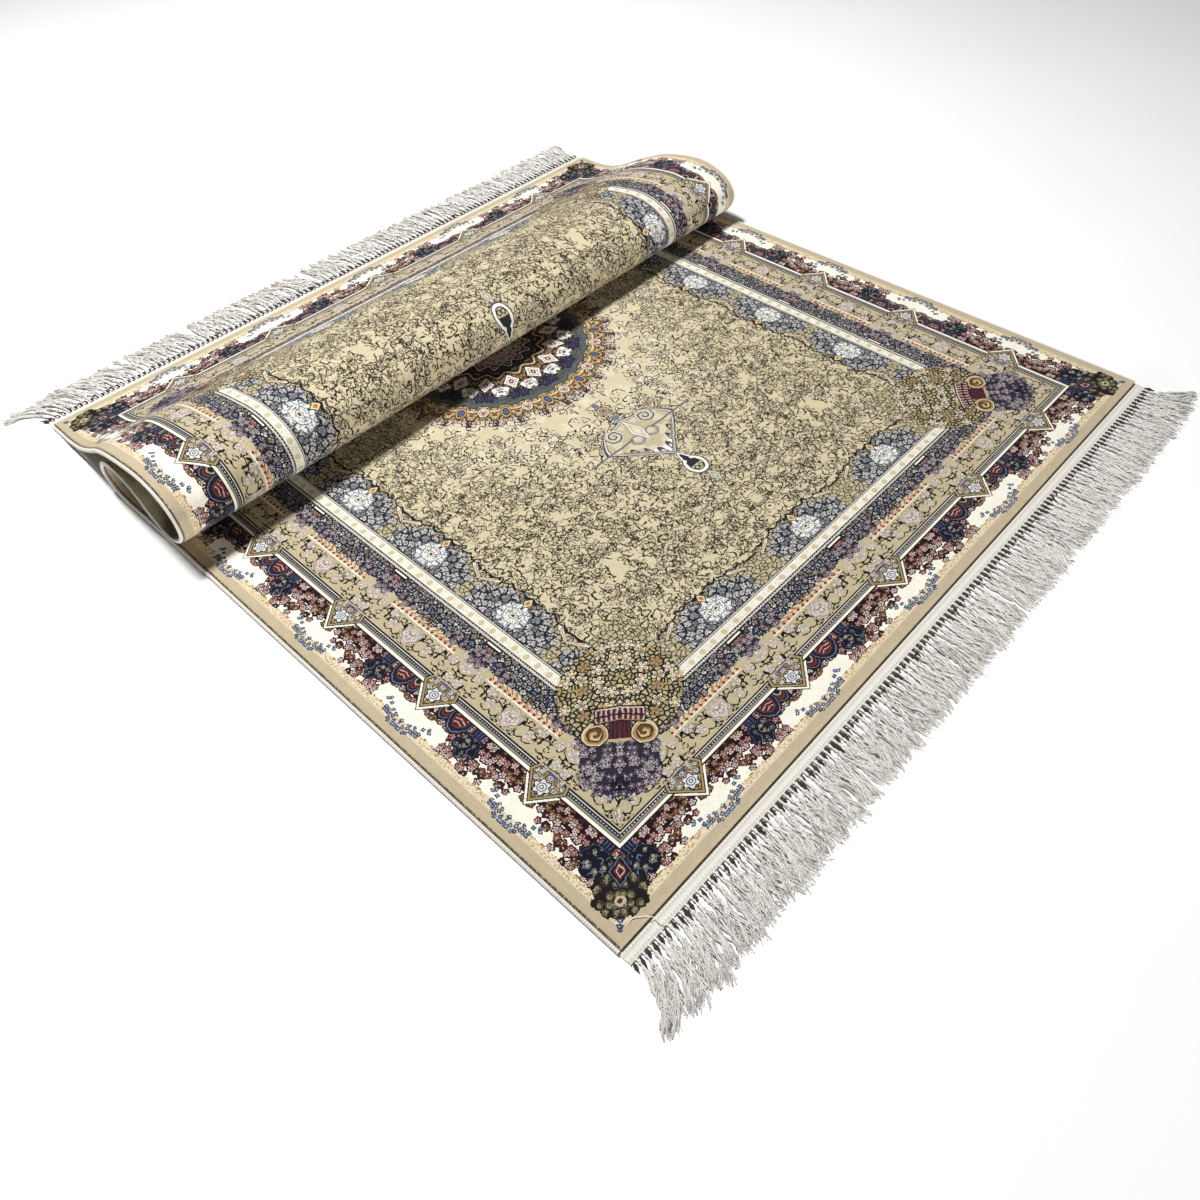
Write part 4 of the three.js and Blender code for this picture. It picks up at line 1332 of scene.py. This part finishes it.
def yarn_paths(far, level_from, level_to):
    """The path of each yarn: away from the strip, bent by its tassel's lean, and sideways by a
    turning circle that gives way to its lock's own offset and wave. Also how far along it lies,
    how free it is, how high and in which phase."""
    degrees = lean_of(roots, far) + rng.normal(0, 5.0, TASSELS)
    each, lock, yarn = (TASSELS, 1, 1), (TASSELS, LOCKS, 1), (TASSELS, YARNS, 1)
    share = np.linspace(0, 1, YARN_POINTS)[None, None, :] ** 1.1
    length = TASSEL_LENGTH * rng.normal(1, 0.03, each) * rng.normal(0.99, 0.035, yarn)
    free = np.clip((share - TWISTED) / (1 - TWISTED), 0, 1)
    open_up = np.sqrt(free) * 0.6 + free * 0.4
    circle = 2 * np.pi * (np.arange(YARNS)[None, :, None] / YARNS + share / TWISTED * 0.7)
    wave = per_lock(rng.uniform(1.5, 6.0, lock)) * np.sin(
        free * per_lock(rng.uniform(4, 11, lock)) + per_lock(rng.uniform(0, 6.3, lock)))
    phase = rng.uniform(0, 6.3, yarn)
    ripple = rng.uniform(0.2, 0.9, yarn) * np.sin(free * rng.uniform(9, 19, yarn) + phase)
    sideways = (1.3 * np.cos(circle) * (1 - open_up)
                + (per_lock(rng.normal(0, 3.4, lock)) + rng.normal(0, 0.9, yarn)) * open_up
                + (wave + ripple) * open_up)
    level = np.clip(per_lock(rng.uniform(level_from, level_to, lock))
                    + rng.normal(0, 0.12, yarn), 0, 1)
    height = (1.9 + 1.4 * np.sin(circle)) * (1 - open_up) + open_up * (
        YARN_RADIUS + level * 6.5 * (1 - free * 0.55) + 0.5 * np.sin(free * 9 + 2 * phase))
    height = np.maximum(height, YARN_RADIUS)
    bend = np.radians(degrees)[:, None, None] * share
    away = share * length
    x = roots[:, None, None] - away * np.sin(bend) + sideways * np.cos(bend)
    y = -PIECE_GAP - TAPE_WIDTH + 1.0 - away * np.cos(bend) - sideways * np.sin(bend)
    return np.stack([x, y, height], -1), away, free, level, phase


# %% Tassels: yarns round their paths
def tassels(name, far, finish, level_from, level_to):
    """A ring of points round each place of each path, square to it, thinner towards the tip."""
    path, away, free, level, phase = yarn_paths(far, level_from, level_to)
    along = np.gradient(path, axis=2)
    along /= np.linalg.norm(along, axis=-1, keepdims=True)
    beside = np.cross(along, [0, 0, 1.0])
    beside /= np.linalg.norm(beside, axis=-1, keepdims=True)
    over = np.cross(beside, along)
    thick = YARN_RADIUS * (1 - 0.2 * free ** 3)[..., None, None]
    angle = (np.arange(YARN_SIDES) * 2 * np.pi / YARN_SIDES + np.pi / 2)[:, None]
    ring = path[..., None, :] + thick * (beside[..., None, :] * np.cos(angle)
                                         + over[..., None, :] * np.sin(angle))
    ring[..., 2] = np.maximum(ring[..., 2], 0.02)
    points = to_far_end(ring) if far else ring
    # most yarns are white and one in six is drab; the lower a yarn lies, the darker it is painted, as
    # the shade under the yarns above
    drab = rng.uniform(0, 1, phase.shape) < 0.14
    drab = drab * rng.uniform(0.35, 1.0, phase.shape) * np.minimum(free * 4, 1)
    tone = np.clip(0.66 + 0.4 * level - drab, 0, 1)
    values = np.stack([away, np.broadcast_to(phase, away.shape), tone], -1)[..., None, :]
    values = np.broadcast_to(values, ring.shape)
    faces = tube_faces(TASSELS * YARNS, YARN_POINTS, YARN_SIDES)
    return fringe_piece(name, points, faces, finish, values)


loose_cotton = cotton_finish("loose cotton warp yarn", "#E4E1DB", "#6E6254", 1.4)
fringes = [tassels("tassels_near_under", False, loose_cotton, 0.0, 0.6),
           tassels("tassels_near_over", False, loose_cotton, 0.4, 1.0),
           tassels("tassels_far", True, loose_cotton, 0.0, 1.0)]

# %% [markdown]
# Between the twisted roots the gaps lie in deep shade, and dark brown lenses are laid there as
# painted shade. A yarn wound as a curve could stand there, but only the top of each turn would
# show. So each is a slanting lens: rings of points whose width swells and fades as a sine along it.

# %% Dark lenses of painted shade between the roots
SHADE_LENS_LENGTH = 12.5
SHADE_LENS_WIDTH = 5.2
SHADE_LENS_RINGS = 8
RING_SIDES = 6
LOOSE_POINTS = 40
LOOSE_RADIUS = 0.45


def gap_shade_lenses(name, far, finish):
    """One dark lens of painted shade between each two tassels and at both ends. Its half width is a
    sine of its length, and it leans with the tassels beside it."""
    places = np.r_[roots - PILE_WIDTH / TASSELS / 2, roots[-1] + PILE_WIDTH / TASSELS / 2]
    share = np.linspace(0, 1, SHADE_LENS_RINGS)[None, :, None]
    angle = (np.arange(RING_SIDES) * 2 * np.pi / RING_SIDES)[None, None, :]
    slant = np.radians(lean_of(places, far) * 0.45 + rng.normal(10, 7, len(places)) *
                       (-1 if far else 1))[:, None, None]
    long = SHADE_LENS_LENGTH * rng.uniform(0.6, 1.5, len(places))[:, None, None]
    swell = np.maximum(np.sin(np.pi * share ** 0.75), 0.03) * (0.8 + 0.2 * np.cos(share * 14))
    across = SHADE_LENS_WIDTH / 2 * swell * np.cos(angle) * rng.uniform(
        0.6, 1.25, len(places))[:, None, None]
    away = share * long
    x = places[:, None, None] - away * np.sin(slant) + across * np.cos(slant)
    y = -PIECE_GAP - TAPE_WIDTH + 0.8 - away * np.cos(slant) - across * np.sin(slant)
    z = 2.5 + 2.3 * swell * np.sin(angle) + 0 * x
    points = np.stack([x, y, z], -1)
    points = to_far_end(points) if far else points
    values = np.stack(np.broadcast_arrays(away, angle, 0.5), -1)
    values = np.broadcast_to(values, points.shape)
    faces = tube_faces(len(places), SHADE_LENS_RINGS, RING_SIDES)
    return fringe_piece(name, points, faces, finish, values)


# %% Loose yarn, and hiding the fringe solids that the new pieces stand for
def loose_yarn(finish):
    """One thin warp yarn that has worked loose and lies over the near left corner."""
    spots = np.array([[17, 9, 7.6], [25, 9.5, 8.2], [31, 5, 8.3], [36, 0.5, 7.9], [39, -3, 4.6],
                      [38.5, -8, 4.2], [41, -13, 4.2]], float)
    path = smooth_line(spots, np.linspace(0, 1, LOOSE_POINTS))
    along = np.gradient(path, axis=0)
    beside = np.cross(along, [0, 0, 1.0])
    beside /= np.linalg.norm(beside, axis=1, keepdims=True)
    angle = np.arange(RING_SIDES) * 2 * np.pi / RING_SIDES
    ring = path[:, None] + LOOSE_RADIUS * (beside[:, None] * np.cos(angle)[:, None]
                                           + np.array([0, 0, 1.0]) * np.sin(angle)[:, None])
    values = np.stack(np.broadcast_arrays(np.arange(float(LOOSE_POINTS))[:, None], angle, 0.9), -1)
    faces = tube_faces(1, LOOSE_POINTS, RING_SIDES)
    return fringe_piece("loose_yarn_near", ring, faces, finish, values)


# dark brown painted shade for the gaps between the tassels' roots
gap_shade_finish = cotton_finish("painted gap shade", "#3A2C1E", "#1C140D", 1.2)
lenses_and_loose_yarn = [gap_shade_lenses("gap_shade_near", False, gap_shade_finish), gap_shade_lenses("gap_shade_far", True, gap_shade_finish),
         loose_yarn(tape_cotton)]
for piece in [tapes[0], fringes[0], fringes[1], lenses_and_loose_yarn[0], lenses_and_loose_yarn[2]]:
    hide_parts("fringe_near")
for piece in [tapes[1], fringes[2], lenses_and_loose_yarn[1]]:
    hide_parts("fringe_far")

# %% [markdown]
# A plain white floor under three lights: a faint even sky, a lamp above and a little behind
# that shades the folds, and a low strip in front that lifts the face of the front fold. One
# lamp would be simpler, but that face would then lie in its own shade.

# %% Floor and light
FLOOR_SIZE = 12                    # metres
SKY_STRENGTH = 0.08
bpy.ops.mesh.primitive_plane_add(size=FLOOR_SIZE)
floor = bpy.context.object
floor.name = "studio_floor"
# matt white paper: an even ground that shows the soft shadows
paper, tree = blank_finish("white studio paper")
pulp = layers(tree, "#FFFFFF", {"g": add(tree, "TexNoise", named={"Scale": 40.0})},
              ("g", "#F9F9F8"))
add(tree, "OutputMaterial", add(tree, "BsdfPrincipled", named={
    "Base Color": pulp, "Roughness": 0.9}))
floor.data.materials.append(paper)

world = bpy.data.worlds.new("studio")
bpy.context.scene.world = world
world.use_nodes = True
world.node_tree.nodes["Background"].inputs["Color"].default_value = (1, 1, 1, 1)
world.node_tree.nodes["Background"].inputs["Strength"].default_value = SKY_STRENGTH


def soft_light(name, place, width, height, watts):
    """A flat lamp, width by height (m), at place (m). It faces the carpet's middle, and the
    camera doesn't see it."""
    data = bpy.data.lights.new(name, "AREA")
    data.shape = "RECTANGLE"
    data.size, data.size_y, data.energy = width, height, watts
    lamp = bpy.data.objects.new(name, data)
    lamp.location = place
    lamp.visible_camera = False
    aim = np.array([0, 0, 0.05]) - place
    lamp.rotation_euler = (math.acos(-aim[2] / np.linalg.norm(aim)), 0,
                           math.atan2(aim[1], aim[0]) - math.pi / 2)
    bpy.context.collection.objects.link(lamp)


soft_light("ceiling_lamp", np.array([-0.25, 1.0, 2.7]), 0.45, 0.45, 114)
soft_light("low_strip_light", np.array([-0.5, -2.6, 0.11]), 1.6, 0.12, 48)
bpy.context.scene.view_settings.view_transform = "Standard"
